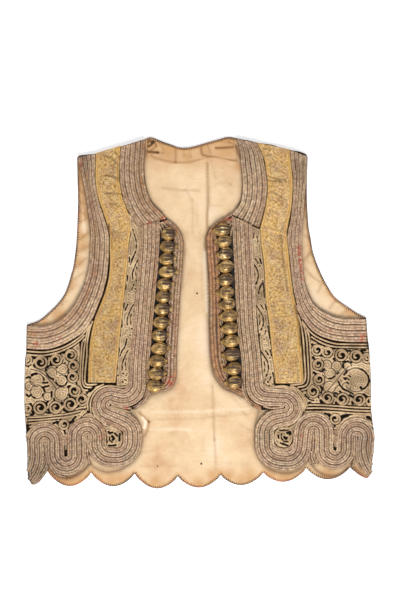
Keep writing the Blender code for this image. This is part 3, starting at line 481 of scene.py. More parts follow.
# Over that lie the painted shadow by the fronts, painted highlights on fold ridges, brown folds of dirt and
# painted shade, the painted shade of a sharp fold, and holes.
USE = ((front_shadow, "#6E4C30"), (ridge_highlight, "#FFF0D8"), (fold, "#94683C"), (sharp_fold_shade, "#3E2616"), (hole, "#33261A"))
for factor, colour in USE:
    used = add(tree, "Mix", {0: factor, 6: used, 7: linear(colour)}, data_type="RGBA")
threads = {"Vector": place_on, "Scale": 0.314 / (THREAD * MM), "Distortion": 0.6, "Detail": 1.0}
warp, weft = [add(tree, "TexWave", threads, bands_direction=axis).outputs["Fac"] for axis in ("X", "Y")]
weave = add(tree, "Math", {0: warp, 1: weft}, operation="MULTIPLY")
crinkle = add(tree, "TexNoise", {"Vector": place_on, "Scale": 42.0, "Detail": 6.0, "Distortion": 1.2})
shade = add(tree, "MapRange", {"Value": weave, "To Min": 0.94, "To Max": 1.03})
grey = add(tree, "CombineColor", {"Red": shade, "Green": shade, "Blue": shade})
toned = add(tree, "Mix", {0: 1.0, 6: used, 7: grey}, data_type="RGBA", blend_type="MULTIPLY")
fine = add(tree, "Bump", {"Height": weave, "Strength": 0.25, "Distance": 0.0003})
soft = add(tree, "Bump", {"Height": crinkle, "Strength": 0.8, "Distance": 0.0035, "Normal": fine})
join(tree, shader, {"Base Color": toned, "Normal": soft})

outline = garment_outline()
# More points along the folds, the painted shadow lines and round the holes, so that each has a clean line.
FOLD_SIDES = (-1.4, -0.7, 0.0, 0.7, 1.4)
FRONT_SHADOW_SIDES = (-2.6, -1.3, 0.0, 1.3, 2.6)
close = [smooth(line_of(line), 8) + [off, off] for _, *line in FOLDS for off in FOLD_SIDES]
close += [smooth(line_of(line), 8) + [off, 0.4 * off] for _, *line in FRONT_SHADOW_LINES for off in FRONT_SHADOW_SIDES]
for x, y, radius in HOLES:
    close += [np.array([[x, y]]) + size * offsets(10) for size in (0.1, radius * 0.98, radius * 1.1)]
mesh = cut_cloth("lining", outline, LINING_POINTS, lining_under, lining_over, close)
marked(mesh, FOLDS, 0.0)
lining = place("lining", mesh, cotton, "cotton")
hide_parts("back_lining")

# --- Neck facing -------------------------------------------------------------------------------------------
# A shaped strip of the same cotton faces the back neck. It is felled to the lining along its lower edge.

# Facing of the back neck: its neck edge, then the seam where it meets the lining.
# edge x, edge y, seam x, seam y
NECK_FACING = (
    (-68.2, 224.4, -67.7, 203.6), (-61.8, 224.4, -57.9, 199.9), (-51.4, 220.5, -47.5, 197.1),
    (-38.4, 216.3, -35.8, 194.5), (-25.4, 212.2, -22.8, 194.5), (-12.3, 212.4, -11.7, 195),
    (0.7, 215.5, -0.7, 198.9), (13.7, 219.4, 12.3, 202.3), (26.7, 223.1, 26, 201.5),
    (37.1, 225.7, 38.4, 198.4), (45.4, 223.9, 50.1, 195),
)

# Folds and the felled seam of the facing: how dark their line of dirt and painted shade is, then x and y of
# each point.
FACING_FOLDS = (
    (0.55, -63.1, 204.5, -57.9, 201.8, -51.4, 199.9, -44.9, 198.1, -38.4, 196.8, -31.9, 195.5,
        -22.8, 195.3, -12.3, 196.3, -3.2, 197.6, 4.5, 199.7),
    (0.9, 2, 214.5, 3.2, 206.7, 7.2, 204.1, 13.7, 203.3, 20.2, 202, 26.7, 200.5, 35.8, 198.6, 47.5, 198),
    (0.6, -31.2, 213.2, -30.9, 204.9, -31.1, 195.8), (1.2, 21.4, 214.1, 33.1, 214.6, 43.6, 215.4),
    (0.5, 37.1, 223.1, 44.9, 219.2), (0.4, 11.1, 217.1, 13.9, 208.3),
    (1.9, -68.8, 216.1, -64.4, 217.4, -61.2, 220.2, -59.9, 223.6),
    (1.6, -67.7, 221, -65.1, 223.9, -62.3, 221.5), (1, -59.1, 223.1, -56, 216.6),
    (1.7, -70.9, 209.3, -67, 209.3, -61.8, 208.8, -54, 208.3), (0.5, -55.2, 208.1, -47.5, 207.5),
    (0.7, -62.3, 211.6, -58.4, 215), (0.3, -51.4, 219.2, -46.1, 211.4),
    (0.25, -21.4, 212.7, -20.2, 203.6), (0.25, -12.3, 211.4, -11.1, 202.3),
    (0.3, 29.2, 222.6, 39.6, 220.5),
)

FACING_UNDER, FACING_TOP = 3.6, 4.4
# The seam: its depth, and its place and reach as parts of the width. The waves: their height and length.
FELLED, FELLED_AT, FELLED_REACH = 0.35, 0.97, 0.05
WAVY, WAVE = 0.1, 7


def strip_faces(rows, wide):
    """Faces of a strip with this many rows of points: its two sides, its long edges and its ends."""
    count = rows * wide
    faces = []
    for i in range(rows - 1):
        for k in range(wide - 1):
            a, b = i * wide + k, (i + 1) * wide + k
            faces += [[a, a + 1, b + 1, b], [b + count, b + 1 + count, a + 1 + count, a + count]]
        for a, b in ((i * wide, (i + 1) * wide), ((i + 2) * wide - 1, (i + 1) * wide - 1)):
            faces.append([a, b, b + count, a + count])
    for first, step in ((1, -1), (count - wide, 1)):
        for a in range(first, first + wide - 1):
            faces.append([a, a + step, a + step + count, a + count])
    return faces


def laid_strip(name, line, across, under, over):
    """A strip of cloth between the two edges of a line of rows. Its UV is in metres, across and along."""
    free, inner = line[:, :2], line[:, 2:]
    spots = free[:, None] + (inner - free)[:, None] * across[None, :, None]
    rows, wide = spots.shape[:2]
    flat = spots.reshape(-1, 2)
    along = np.concatenate([[0], np.cumsum(np.hypot(*np.diff((free + inner) / 2, axis=0).T))])
    width = np.hypot(*(inner - free).T)
    u = (across[None] * width[:, None]).ravel()
    v = np.repeat(along, wide)
    base = under(flat)
    top = base + over(u, v, np.tile(across, rows))
    points = np.vstack([np.column_stack([flat, top]), np.column_stack([flat, base])])
    mesh = bpy.data.meshes.new(name)
    mesh.from_pydata((points * MM).tolist(), [], strip_faces(rows, wide))
    bm = bmesh.new()
    bm.from_mesh(mesh)
    bmesh.ops.recalc_face_normals(bm, faces=bm.faces[:])
    bm.to_mesh(mesh)
    bm.free()
    index = np.empty(len(mesh.loops), int)
    mesh.loops.foreach_get("vertex_index", index)
    uv = np.column_stack([np.tile(u, 2), np.tile(v, 2)])[index] * MM
    mesh.uv_layers.new(name="UVMap").data.foreach_set("uv", uv.ravel())
    mark(mesh, "edge", np.tile(np.minimum(u, np.repeat(width, wide) - u), 2))
    return mesh


def facing_under(spots):
    """The underside of the facing, which is level."""
    return np.full(len(spots), FACING_UNDER)


def facing_over(u, v, across):
    """Thickness of the facing: its felled seam is drawn in, and its length is a little wavy."""
    felled = FELLED * np.exp(-(((across - FELLED_AT) / FELLED_REACH) ** 2))
    return FACING_TOP - FACING_UNDER - felled + WAVY * np.sin(v / WAVE)


line = smooth(NECK_FACING, 12)
mesh = laid_strip("neck_facing", line, np.linspace(0, 1, 25), facing_under, facing_over)
# The seam side is as clean as cotton 20 mm from an edge.
mesh.attributes["edge"].data.foreach_set("value", np.tile(np.linspace(0, 20, 25), len(line) * 2))
marked(mesh, FACING_FOLDS, 0.5)
facing = place("neck_facing_cotton", mesh, cotton, "cotton")
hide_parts("neck_facing")

# --- Corded bands ------------------------------------------------------------------------------------------
# Rows of silver-wrapped cord lie side by side, couched down in pairs, round the neck, the armholes and
# down each front. The front bands wind in loops round the hem. Tarnish has turned the silver a pinkish
# taupe.

# Corded band round the left armhole, from shoulder to side: free edge, then inner edge.
# edge x, edge y, inner x, inner y
ARM_BAND_L = (
    (-158.7, 201.5, -135.6, 206.1), (-155.3, 188, -135.6, 189.3), (-151.5, 172.4, -135.8, 172.4),
    (-146.9, 146.4, -132, 149), (-143.7, 123, -124.8, 126.2), (-141.7, 100.9, -118.4, 104.8),
    (-142.3, 85.3, -117.3, 86.6), (-143.7, 65.8, -118.4, 65.8), (-146.2, 48.9, -120.2, 46.3),
    (-151.5, 33.3, -124.7, 28.1), (-159.9, 15.1, -131.2, 9.9), (-169.7, 1.4, -139.8, -9.6),
    (-181.3, -9.6, -152.8, -26.5), (-193.1, -15.7, -171, -38.2), (-204.8, -17.8, -189.2, -46),
    (-215.2, -17.4, -206.1, -48.6), (-224, -16.6, -224.5, -46.7),
)

# The same on the right.
# edge x, edge y, inner x, inner y
ARM_BAND_R = (
    (140, 203.1, 117.7, 211), (139.5, 188, 120, 189.3), (138.8, 172.4, 121.8, 172.4),
    (136.2, 146.4, 121.3, 147.7), (134.6, 120.4, 118.6, 124.3), (133.8, 99.6, 114.1, 99.6),
    (133.2, 81.4, 116.1, 81.4), (134.6, 61.9, 118.3, 61.9), (135.8, 42.4, 120.2, 42.4),
    (139.8, 29.4, 123.4, 22.9), (145, 16.4, 128.1, 6), (154.1, 6, 135.2, -9.6),
    (164.5, -0.5, 145.5, -22.8), (176.2, -5.7, 161.3, -32.5), (189.2, -7.8, 180.6, -37.4),
    (202.2, -7.9, 199.6, -38.5), (216.2, -7.9, 218, -38.7),
)

# Corded band round the left of the neck, from shoulder to opening.
# edge x, edge y, inner x, inner y
NECK_BAND_L = (
    (-70.3, 225.2, -102.3, 215.3), (-70.9, 211.4, -103.6, 201), (-72.4, 194.5, -104, 188),
    (-71.8, 178.9, -103.4, 172.4), (-69.5, 163.3, -101.8, 159.4), (-65.3, 149, -97.4, 145.1),
    (-58.5, 138.2, -91.4, 130.8), (-50.1, 130.3, -84.9, 119.7), (-42.2, 122.2, -78.7, 112.6),
)

# The same on the right.
# edge x, edge y, inner x, inner y
NECK_BAND_R = (
    (47.7, 226.2, 74.2, 220.4), (51.9, 212.7, 81.2, 207.5), (53.6, 197.1, 84.9, 191.9),
    (55.2, 180.2, 87.5, 175), (55.9, 163.3, 88, 159.4), (54.3, 147, 86.5, 143.8),
    (49.4, 136.6, 82.9, 128.2), (41.6, 127.8, 77.9, 110.2),
)

# Turns of the left front band, opening edge to side: its centre line runs round these like a belt.
# centre x, centre y, radius, turn (-1 clockwise), half width of the band
TURNS_L = (
    (-454.5, 104.8, 390, -1, 13.3), (-99.5, -91.5, 19.5, -1, 12.7), (-115.7, -120.1, 12.5, 1, 11.4),
    (-105.3, -157.8, 18.2, -1, 12.5), (-107.9, -167.6, 20.8, -1, 12.7), (-115.8, -170.2, 17.7, -1, 12.7),
    (-146.6, -161.3, 13.4, 1, 12.3), (-173.6, -185.1, 14.3, -1, 12.7), (-201.5, -168.2, 13.3, 1, 12.2),
    (-256.8, -185.1, 42.9, -1, 12.5),
)

# The same on the right.
# centre x, centre y, radius, turn (-1 clockwise), half width of the band
TURNS_R = (
    (450.4, 16.4, 390, 1, 13.3), (89, -91.5, 18.2, 1, 12.5), (109.9, -123.1, 12.5, -1, 11.4),
    (103.4, -156.5, 18.9, 1, 12.5), (106, -170.8, 21.4, 1, 12.7), (113.8, -173.4, 19.5, 1, 12.7),
    (148.7, -154.6, 13.4, -1, 12.3), (176.2, -177.3, 14.3, 1, 12.7), (204.5, -161.7, 13.8, -1, 12.2),
    (258.1, -176, 41.6, 1, 12.5),
)

START_L, LEAN_L = (-64.5, 114.8), 3.2
START_R, LEAN_R = (55.2, 118.4), 6.6
TAIL_HEADING = math.radians(140)
TURN_STEP = math.radians(10)
STRAIGHT_STEP = 4.0
NECK_CORDS = 10
ARM_CORDS = 8
LOOP_CORDS = 8
CORD_SIDES = 8
# A cord's height over the wool, its radius as a part of its pitch, and how near two cords of a pair lie.
CORD_LIFT = 1.3
CORD_RADIUS = 0.575
PAIRED = 0.07
PADDING_LIFT, PADDING_RADIUS = 0.9, 0.5
# How far the start of a front band runs on under the neck band.
TUCK = 1.6
# A cord ends this near the side fold, and its end drops over it.
AT_FOLD, FOLD_DROP = 0.25, 2.0

# The front bands have one more pair of cords beside the buttons, which ends where the loops begin.
STRAIGHT_CORDS = 10
PAIR_ENDS = 232.0
PAIR_EASED = 60.0

# The fronts stand a little off the lining between the opening edge and the side fold.
PUFF = 2.4
MIDDLE_X = -5.2
PUFF_FROM, PUFF_TO = 12.0, 220.0
PUFF_HEM_Y, PUFF_SHOULDER_Y = -205.0, 200.0
FRONT_TOP = 5.9

# Parts of the bands darkened by dirt and painted shade, most at the hem ends, the shoulders and the loops.
# x, y, reach, how dirty
DIRT_AND_SHADE = (
    (-207.3, -212.4, 22.1, 1.4), (-199.6, -199.4, 10.4, 1.3), (-207.3, -204.6, 49.4, 1),
    (219.1, -178.6, 39, 0.9), (198.2, -204.6, 31.2, 0.5), (-155.3, 198.4, 20.8, 0.8),
    (138.5, 188, 26, 0.9), (52.6, 211.4, 28.6, 0.8), (-67, 211.4, 18.2, 0.5), (37.1, 117.8, 18.2, 0.5),
    (112.5, -87.6, 52, 0.35), (42.2, -94.1, 20.8, 0.9), (-56.6, -98, 18.2, 0.8), (20.2, -22.6, 33.8, 0.3),
    (-160.6, -178.6, 52, 0.35), (-164.5, -205.9, 13, 0.7), (-124.2, -202, 18.2, 0.6),
    (-95.5, -189, 18.2, 0.6), (-83.9, -212.4, 10.4, 0.6), (-87.8, -129.2, 13, 0.6),
    (-113.8, -113.6, 28.6, 0.35), (83.9, -157.8, 14.3, 0.6), (104.7, -199.4, 18.2, 0.7),
    (128.1, -194.2, 14.3, 0.8), (182.7, -202, 16.9, 0.7), (134.6, -137, 15.6, 0.5),
    (94.2, -170.8, 11.7, 0.5), (156.7, -144.8, 18.2, 0.4),
)

# Places where the silver has worn off a cord's core of orange-red silk: x, y, radius.
WORN = (
    (129.9, 84, 2.9), (130.4, 76.2, 2.9), (131.2, 68.4, 3.1), (132, 60.6, 3.1), (133.2, 52.8, 3.1),
    (134.3, 45, 2.6), (-37.1, -88.9, 6), (-212.6, -42.1, 3.4), (211.2, -33, 3.9), (-64.4, 115.8, 3.1),
    (-156, 190.6, 3.4), (-95.5, -124, 2.1), (81.2, -129.2, 2), (-45.4, 122.3, 3.9), (37.8, 123.5, 4.7),
    (44.9, 224.9, 3.4), (169.7, -22.6, 1.8), (-181.3, -33, 1.6), (-129.3, -161.7, 1.6),
    (133.2, -161.7, 1.6),
)

random = np.random.default_rng(7)
# A cord's pointed end, as a part of its radius, and how softly the worn spots end.
TIP, WORN_EDGE = 0.5, 1.6
# Three waves of these lengths make a cord uneven.
WAVES = (1.0, 2.3, 4.1)
# How far cords stray from their line, rise, and vary in tint: by how much, over how many points.
STRAY, RISE, VARY = (0.07, 5.0), (0.12, 4.0), (0.16, 6.0)


def on_front(spots):
    """Height of the upper side of a front, where trimmings are sewn on."""
    x, y = spots[..., 0], spots[..., 1]
    across = np.clip((np.abs(x - MIDDLE_X) - PUFF_FROM) / (PUFF_TO - PUFF_FROM), 0, 1)
    along = np.clip((y - PUFF_HEM_Y) / (PUFF_SHOULDER_Y - PUFF_HEM_Y), 0, 1)
    return FRONT_TOP + PUFF * (np.sin(math.pi * across) * np.sin(math.pi * along)) ** 2


def round_cord(line, radius, sides):
    """Points, faces and UV of a round cord along a line. Its UV is in metres along and in turns round."""
    run = np.gradient(line, axis=0)
    run /= np.linalg.norm(run, axis=1)[:, None]
    side = np.cross([0.0, 0.0, 1.0], run)
    side /= np.maximum(np.linalg.norm(side, axis=1), 1e-6)[:, None]
    up = np.cross(run, side)
    turn = np.arange(sides) * math.tau / sides
    ring = side[:, None] * np.cos(turn)[None, :, None] + up[:, None] * np.sin(turn)[None, :, None]
    ring = line[:, None] + radius[:, None, None] * ring
    tips = [line[0] - run[0] * radius[0] * TIP, line[-1] + run[-1] * radius[-1] * TIP]
    steps = np.linalg.norm(np.diff(line, axis=0), axis=1)
    length = random.uniform(0, 3) + np.concatenate([[0], np.cumsum(steps)]) * MM
    i, k = np.meshgrid(np.arange(len(line) - 1), np.arange(sides), indexing="ij")
    i, k = i.ravel(), k.ravel()
    after = (k + 1) % sides
    quads = [(i + 1) * sides + k, (i + 1) * sides + after, i * sides + after, i * sides + k]
    faces = np.column_stack(quads).tolist()
    corners = [(length[i + 1], k), (length[i + 1], k + 1), (length[i], k + 1), (length[i], k)]
    corners = [np.column_stack([at, round_it / sides]) for at, round_it in corners]
    uv = [np.stack(corners, axis=1).reshape(-1, 2)]
    tip = len(line) * sides
    for j in range(sides):
        n = (j + 1) % sides
        faces += [[n, j, tip], [tip - sides + j, tip - sides + n, tip + 1]]
        uv.append(np.array([(0.0, 0.5)] * 3 + [(length[-1], 0.5)] * 3))
    return np.vstack([ring.reshape(-1, 3), *tips]), faces, np.vstack(uv)


def swept(name, lines, radii, sides, tints):
    """Round cords along lines of points, each with its radius and its tint."""
    points, faces, uv, tint = [], [], [], []
    first = 0
    for line, radius, own in zip(lines, radii, tints):
        radius, own = [np.broadcast_to(values, len(line)) for values in (radius, own)]
        spots, round_it, unrolled = round_cord(line, radius, sides)
        points.append(spots)
        faces += [[first + corner for corner in face] for face in round_it]
        uv.append(unrolled)
        tint += [own.repeat(sides), own[[0, -1]]]
        first += len(spots)
    points = np.vstack(points)
    mesh = bpy.data.meshes.new(name)
    mesh.from_pydata((points * MM).tolist(), [], faces)
    mesh.uv_layers.new(name="UVMap").data.foreach_set("uv", np.vstack(uv).ravel())
    mark(mesh, "tint", np.concatenate(tint))
    bare, dirt_and_shade = np.zeros((2, len(points)))
    for x, y, reach in WORN:
        apart = np.hypot(points[:, 0] - x, points[:, 1] - y)
        bare = np.maximum(bare, np.clip(WORN_EDGE - apart / reach, 0, 1))
    for x, y, reach, amount in DIRT_AND_SHADE:
        apart = np.hypot(points[:, 0] - x, points[:, 1] - y)
        dirt_and_shade = np.maximum(dirt_and_shade, amount * np.exp(-((apart / reach) ** 2)))
    mark(mesh, "worn", bare)
    mark(mesh, "dirt_and_shade", dirt_and_shade)
    return mesh


def uneven(count, size, reach):
    """A slow, seeded unevenness along a cord: one value for each of its points."""
    at = np.arange(count) / reach
    starts = random.uniform(0, math.tau, 3)
    return size * sum(np.sin(at * often + start) for often, start in zip(WAVES, starts)) / 2


def side_by_side(line, cords, more=0, sheen=(0.2, 0.8)):
    """Centre lines, radii and tints of cords laid in pairs between the two edges of a line of rows.

    A softer brown cord pads the band under each groove, and has a tint below 0. more is how many further
    cords lie at the free edge until PAIR_ENDS along the band.
    """
    free, inner = line[:, :2], line[:, 2:]
    middle = (free + inner) / 2
    along = np.concatenate([[0], np.cumsum(np.hypot(*np.diff(middle, axis=0).T))])
    eased = np.clip((along - PAIR_ENDS + PAIR_EASED) / PAIR_EASED, 0, 1) if more else np.ones(len(line))
    eased = eased**2 * (3 - 2 * eased)
    width = np.hypot(*(inner - free).T)
    pitch = width / (cords + more * (1 - eased))
    lines, radii, tints = [], [], []
    for place in range(1, cords):
        spots = free + (inner - free) * ((place + more * (1 - eased)) * pitch / width)[:, None]
        lines.append(np.column_stack([spots, on_front(spots) + PADDING_LIFT]))
        radii.append(pitch * PADDING_RADIUS)
        tints.append(np.full(len(line), -1.0))
    for cord in range(-more, cords):
        if cord % 2 == 0:
            drift, lift = uneven(len(line), *STRAY), uneven(len(line), *RISE)
            pair = random.uniform(*sheen)
        place = cord + 0.5 + (PAIRED if cord % 2 == 0 else -PAIRED) + drift
        spots = free + (inner - free) * ((place + more * (1 - eased)) * pitch / width)[:, None]
        height = on_front(spots) + CORD_LIFT + lift
        tint = np.clip(pair + random.uniform(-0.12, 0.12) + uneven(len(line), *VARY), 0, 1)
        last = np.searchsorted(along, PAIR_ENDS - 8 * (cord % 2)) if cord < 0 else len(line)
        lines.append(np.column_stack([spots, height])[:last])
        radii.append((pitch * CORD_RADIUS)[:last])
        tints.append(tint[:last])
    return lines, radii, tints


def normal(heading):
    """A step of 1 to the left of a heading."""
    return np.array([-math.sin(heading), math.cos(heading)])


def belt(start, turns, last_heading):
    """The winding line of a front band: place, heading and half width at each cross-line."""
    turns = [(*start, 0.0, 0, turns[0][4])] + list(turns)
    headings = []
    for (xa, ya, ra, ta, _), (xb, yb, rb, tb, _) in zip(turns, turns[1:]):
        reach = math.hypot(xb - xa, yb - ya)
        headings.append(math.atan2(yb - ya, xb - xa) - math.asin((tb * rb - ta * ra) / reach))
    stations = [(np.array(start), headings[0], turns[0][4])]
    leaving = headings[1:] + [last_heading]
    for (x, y, radius, turn, half), arrive, leave in zip(turns[1:], headings, leaving):
        sweep = (turn * (leave - arrive)) % math.tau
        centre = np.array([x, y])
        first = centre - turn * radius * normal(arrive)
        last_place, _, last_half = stations[-1]
        pieces = max(1, round(np.hypot(*(first - last_place)) / STRAIGHT_STEP))
        for t in np.arange(1, pieces) / pieces:
            spot = last_place + (first - last_place) * t
            stations.append((spot, arrive, last_half + (half - last_half) * t))
        steps = max(1, round(max(sweep / TURN_STEP, radius * sweep / (2 * STRAIGHT_STEP))))
        for i in range(steps + 1):
            heading = arrive + turn * sweep * i / steps
            stations.append((centre - turn * radius * normal(heading), heading, half))
    kept = stations[:1]
    for station in stations[1:]:
        if np.hypot(*(station[0] - kept[-1][0])) > LEAST_STEP:
            kept.append(station)
    return kept


def band_rows(stations, side, lean):
    """Free edge and inner edge of a front band, as the rows of a table."""
    edges = []
    heading = stations[0][1]
    ahead = np.array([math.cos(heading), math.sin(heading)])
    for way in (side, -side):
        edge = np.array([spot + way * half * normal(heading) for spot, heading, half in stations])
        edge[0] -= way * side * lean * ahead
        edges.append(np.vstack([edge[0] - TUCK * ahead, edge]))
    return np.hstack(edges)


def cut_at_fold(lines, radii, tints):
    """Ends each cord where it turns down round the side fold."""
    cut = []
    for line, radius, tint in zip(lines, radii, tints):
        apart, inside = distances(outline, line[:, :2], True)
        outside = np.flatnonzero(~inside | (apart < AT_FOLD))
        if len(outside):
            end = outside[0]
            over = line[end - 1] + (line[end - 1] - line[end - 2]) * 0.3 - [0, 0, FOLD_DROP]
            line = np.vstack([line[:end], over])
            radius, tint = [np.append(values[:end], values[end - 1]) for values in (radius, tint)]
        cut.append((line, radius, tint))
    return [list(part) for part in zip(*cut)]


# Silver strip wound on a silk core: the winding runs slantwise round the cord and is drawn at 2.2 mm so that
# it shows, with painted shade between its turns. Tarnish has dulled it from grey to a pinkish brown,
# brighter on the crowns where it is rubbed. Painted streaks of shine and painted glints lie along the cords.
WINDING = 2.2
silver, tree, shader = finish("tarnished_silver_wound_cord", Metallic=0.35, Roughness=0.46)
place_on = add(tree, "TexCoord").outputs["Object"]
READ = ("tint", "worn", "dirt_and_shade")
tint, bare, dirt_and_shade = [add(tree, "Attribute", attribute_name=name).outputs["Fac"] for name in READ]
parts = add(tree, "SeparateXYZ", {"Vector": add(tree, "UVMap", uv_map="UVMap")})
along, round_it = parts.outputs["X"], parts.outputs["Y"]
turns = add(tree, "Math", {0: along, 1: 1 / (WINDING * MM), 2: round_it}, operation="MULTIPLY_ADD")
angle = add(tree, "Math", {0: turns, 1: math.tau}, operation="MULTIPLY")
winding = add(tree, "Math", {0: angle}, operation="SINE")
grain = add(tree, "TexNoise", {"Vector": place_on, "Scale": 420.0, "Detail": 3.0})
cast = add(tree, "TexNoise", {"Vector": place_on, "Scale": 38.0, "Detail": 3.0})
shine_streaks = add(tree, "TexNoise", {"W": along, "Scale": 170.0, "Detail": 2.0}, noise_dimensions="1D")
tints = ((0.0, "#A66A34"), (0.22, "#9E7A56"), (0.45, "#AE8C6C"), (0.75, "#C0A07C"), (1.0, "#D6BC98"))
base = ramp(tree, tint, *tints)
casts = ramp(tree, cast, (0.3, "#A8857A"), (0.5, "#BD9C80"), (0.7, "#B6A07C"))
tarnish = add(tree, "Mix", {0: 0.35, 6: base, 7: casts}, data_type="RGBA")
winding_shade = add(tree, "MapRange", {"Value": winding, "From Min": -1.0, "To Min": 0.82, "To Max": 1.04})
shine_streaked = add(tree, "Math", {0: shine_streaks, 1: grain}, operation="ADD")
spread = {"Value": shine_streaked, "From Min": 0.7, "From Max": 1.3, "To Min": 0.62, "To Max": 1.34}
speck = add(tree, "MapRange", spread)
both = add(tree, "Math", {0: winding_shade, 1: speck}, operation="MULTIPLY")
lit = add(tree, "VectorMath", {0: tarnish, "Scale": both}, operation="SCALE")
# The crown of each cord is rubbed bright, and painted shade darkens its sides, deeper with dirt and shade.
turned = add(tree, "Math", {0: round_it, 1: math.tau}, operation="MULTIPLY")
crown = add(tree, "Math", {0: turned}, operation="SINE")
rubbed = add(tree, "MapRange", {"Value": crown, "From Min": 0.08, "From Max": 0.8})
sides = ramp(tree, dirt_and_shade, (0.0, "#644636"), (1.0, "#2E1A10"))
side_shaded = add(tree, "Mix", {0: rubbed, 6: sides, 7: lit}, data_type="RGBA")
# Painted highlights glint on the rubbed crowns of the more silvery cords.
glints = add(tree, "TexNoise", {"Vector": place_on, "Scale": 380.0, "Detail": 2.0})
bright = add(tree, "MapRange", {"Value": glints, "From Min": 0.52, "From Max": 0.68, "To Max": 0.4})
silvery = add(tree, "MapRange", {"Value": tint, "From Max": 0.5, "To Min": 0.15})
catching = add(tree, "Math", {0: bright, 1: silvery}, operation="MULTIPLY")
high = add(tree, "Math", {0: catching, 1: rubbed}, operation="MULTIPLY")
glinting = add(tree, "Mix", {0: high, 6: side_shaded, 7: linear("#E9D6BE")}, data_type="RGBA")
# The softer cord that pads the grooves is painted dark brown as the shade in them, deeper with dirt and
# shade.
padding = add(tree, "MapRange", {"Value": tint, "From Min": -0.1, "From Max": -0.5})
groove_shade = ramp(tree, dirt_and_shade, (0.0, "#583E2E"), (1.0, "#24140C"))
padded = add(tree, "Mix", {0: padding, 6: glinting, 7: groove_shade}, data_type="RGBA")
# Where the silver is gone, the silk core shows in patches.
core = ramp(tree, grain, (0.3, "#7E2B1E"), (0.7, "#C9694A"))
torn = add(tree, "TexNoise", {"Vector": place_on, "Scale": 260.0, "Detail": 2.0})
patchy = add(tree, "MapRange", {"Value": torn, "From Min": 0.38, "From Max": 0.55})
gone = add(tree, "Math", {0: bare, 1: patchy}, operation="MULTIPLY")
shown = add(tree, "Mix", {0: gone, 6: padded, 7: core}, data_type="RGBA")
# Dirt and painted shade darken the cords where they are marked.
less = add(tree, "Math", {0: dirt_and_shade, 1: -0.34, 2: 1.0}, operation="MULTIPLY_ADD")
shade_darkened = add(tree, "VectorMath", {0: shown, "Scale": less}, operation="SCALE")
ridges = add(tree, "Bump", {"Height": winding, "Strength": 0.35, "Distance": 0.0003})
join(tree, shader, {"Base Color": shade_darkened, "Normal": ridges})

extra = STRAIGHT_CORDS - LOOP_CORDS
left_loops = band_rows(belt(START_L, TURNS_L, -TAIL_HEADING), 1, LEAN_L)
right_loops = band_rows(belt(START_R, TURNS_R, TAIL_HEADING - math.pi), -1, LEAN_R)
bands = {
    "neck_band_left": (smooth(NECK_BAND_L, 6), NECK_CORDS, 0),
    "neck_band_right": (smooth(NECK_BAND_R, 6), NECK_CORDS, 0),
    "armhole_band_left": (smooth(ARM_BAND_L, 6), ARM_CORDS, 0),
    "armhole_band_right": (smooth(ARM_BAND_R, 6), ARM_CORDS, 0),
    "front_band_left": (left_loops, LOOP_CORDS, extra),
    "front_band_right": (right_loops, LOOP_CORDS, extra),
}
for node, (rows, count, more) in bands.items():
    lines, radii, tints = side_by_side(rows, count, more)
    if node.startswith("front"):
        lines, radii, tints = cut_at_fold(lines, radii, tints)
    cords = place(node + "_cords", swept(node, lines, radii, CORD_SIDES, tints), silver, "cord")
    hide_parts(node)

# --- Edge braids -------------------------------------------------------------------------------------------
# A braid of three of the same cords, a little finer, edges each side of the opening and runs down round
# the lobe under the last button.

# Braid of three cords on the left opening edge, from the neck band down round the lobe.
# edge x, edge y, inner x, inner y
EDGE_BRAID_L = (
    (-41.5, 120.9, -49.8, 117.5), (-35.8, 117, -44.9, 112.3), (-28.7, 110.4, -38.4, 105),
    (-23, 100.6, -33.1, 96.7), (-20.7, 87.9, -31.1, 85.9), (-22, 63.2, -32.2, 63.2),
    (-24.6, 29.4, -34.8, 29.4), (-26.8, -7, -37.1, -7), (-29, -42.1, -39.3, -42.1),
    (-29.8, -68.1, -40, -66.8), (-30, -83.7, -39.9, -79.3), (-33.9, -94.9, -41.5, -86.8),
    (-42.2, -101, -46.7, -92.3), (-54, -104.1, -56.6, -95.9), (-63.6, -108.4, -67.7, -102.2),
    (-68.2, -113.6, -71.4, -109.3), (-74, -119.1, -76.3, -115.3), (-80, -123.2, -82.4, -120.1),
    (-84.9, -126.1, -86.7, -122.3),
)

# The same on the right.
# edge x, edge y, inner x, inner y
EDGE_BRAID_R = (
    (35.8, 124, 40.2, 119.3), (29.2, 121.9, 33.7, 115.7), (21.4, 116.5, 27.2, 108.7),
    (13.7, 109.2, 23, 102.4), (9.5, 99.6, 20.9, 95.7), (9.1, 86.6, 20.8, 85.5), (10.9, 63.2, 22.6, 63.2),
    (12.5, 29.4, 24.2, 29.4), (13.1, -9.6, 24.8, -9.6), (13.9, -38.2, 25.6, -38.2),
    (15.6, -61.6, 27.2, -60.3), (18.9, -77.2, 29.8, -72.5), (24.6, -87.6, 33.4, -80.3),
    (33.1, -96.7, 39.1, -88.7), (44.1, -103.2, 46.7, -94.9), (56, -108.7, 58.9, -101.4),
    (59.9, -113.6, 62.3, -108.4), (65.7, -119.1, 67.1, -114.3), (72.9, -124, 73.5, -118.8),
    (80.7, -127.1, 80, -121.7),
)

BRAID_CORDS = 3
# The braids are wider beside the buttons, and lie a little lower than the bands.
BESIDE_BUTTONS = slice(4, 12)
BRAID_SPREAD = 1.8
BRAID_LOWER = 0.3
for side, table, sheen in (("left", EDGE_BRAID_L, (0.15, 0.5)), ("right", EDGE_BRAID_R, (0.0, 0.08))):
    rows = np.array(table)
    rows[BESIDE_BUTTONS, 2] += BRAID_SPREAD * np.sign(rows[BESIDE_BUTTONS, 2])
    lines, radii, tints = side_by_side(smooth(rows, 6), BRAID_CORDS, 0, sheen)
    for line in lines:
        line[:, 2] -= BRAID_LOWER
    node = "edge_braid_" + side
    cords = place(node + "_cords", swept(node, lines, radii, CORD_SIDES, tints), silver, "cord")
    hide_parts(node)

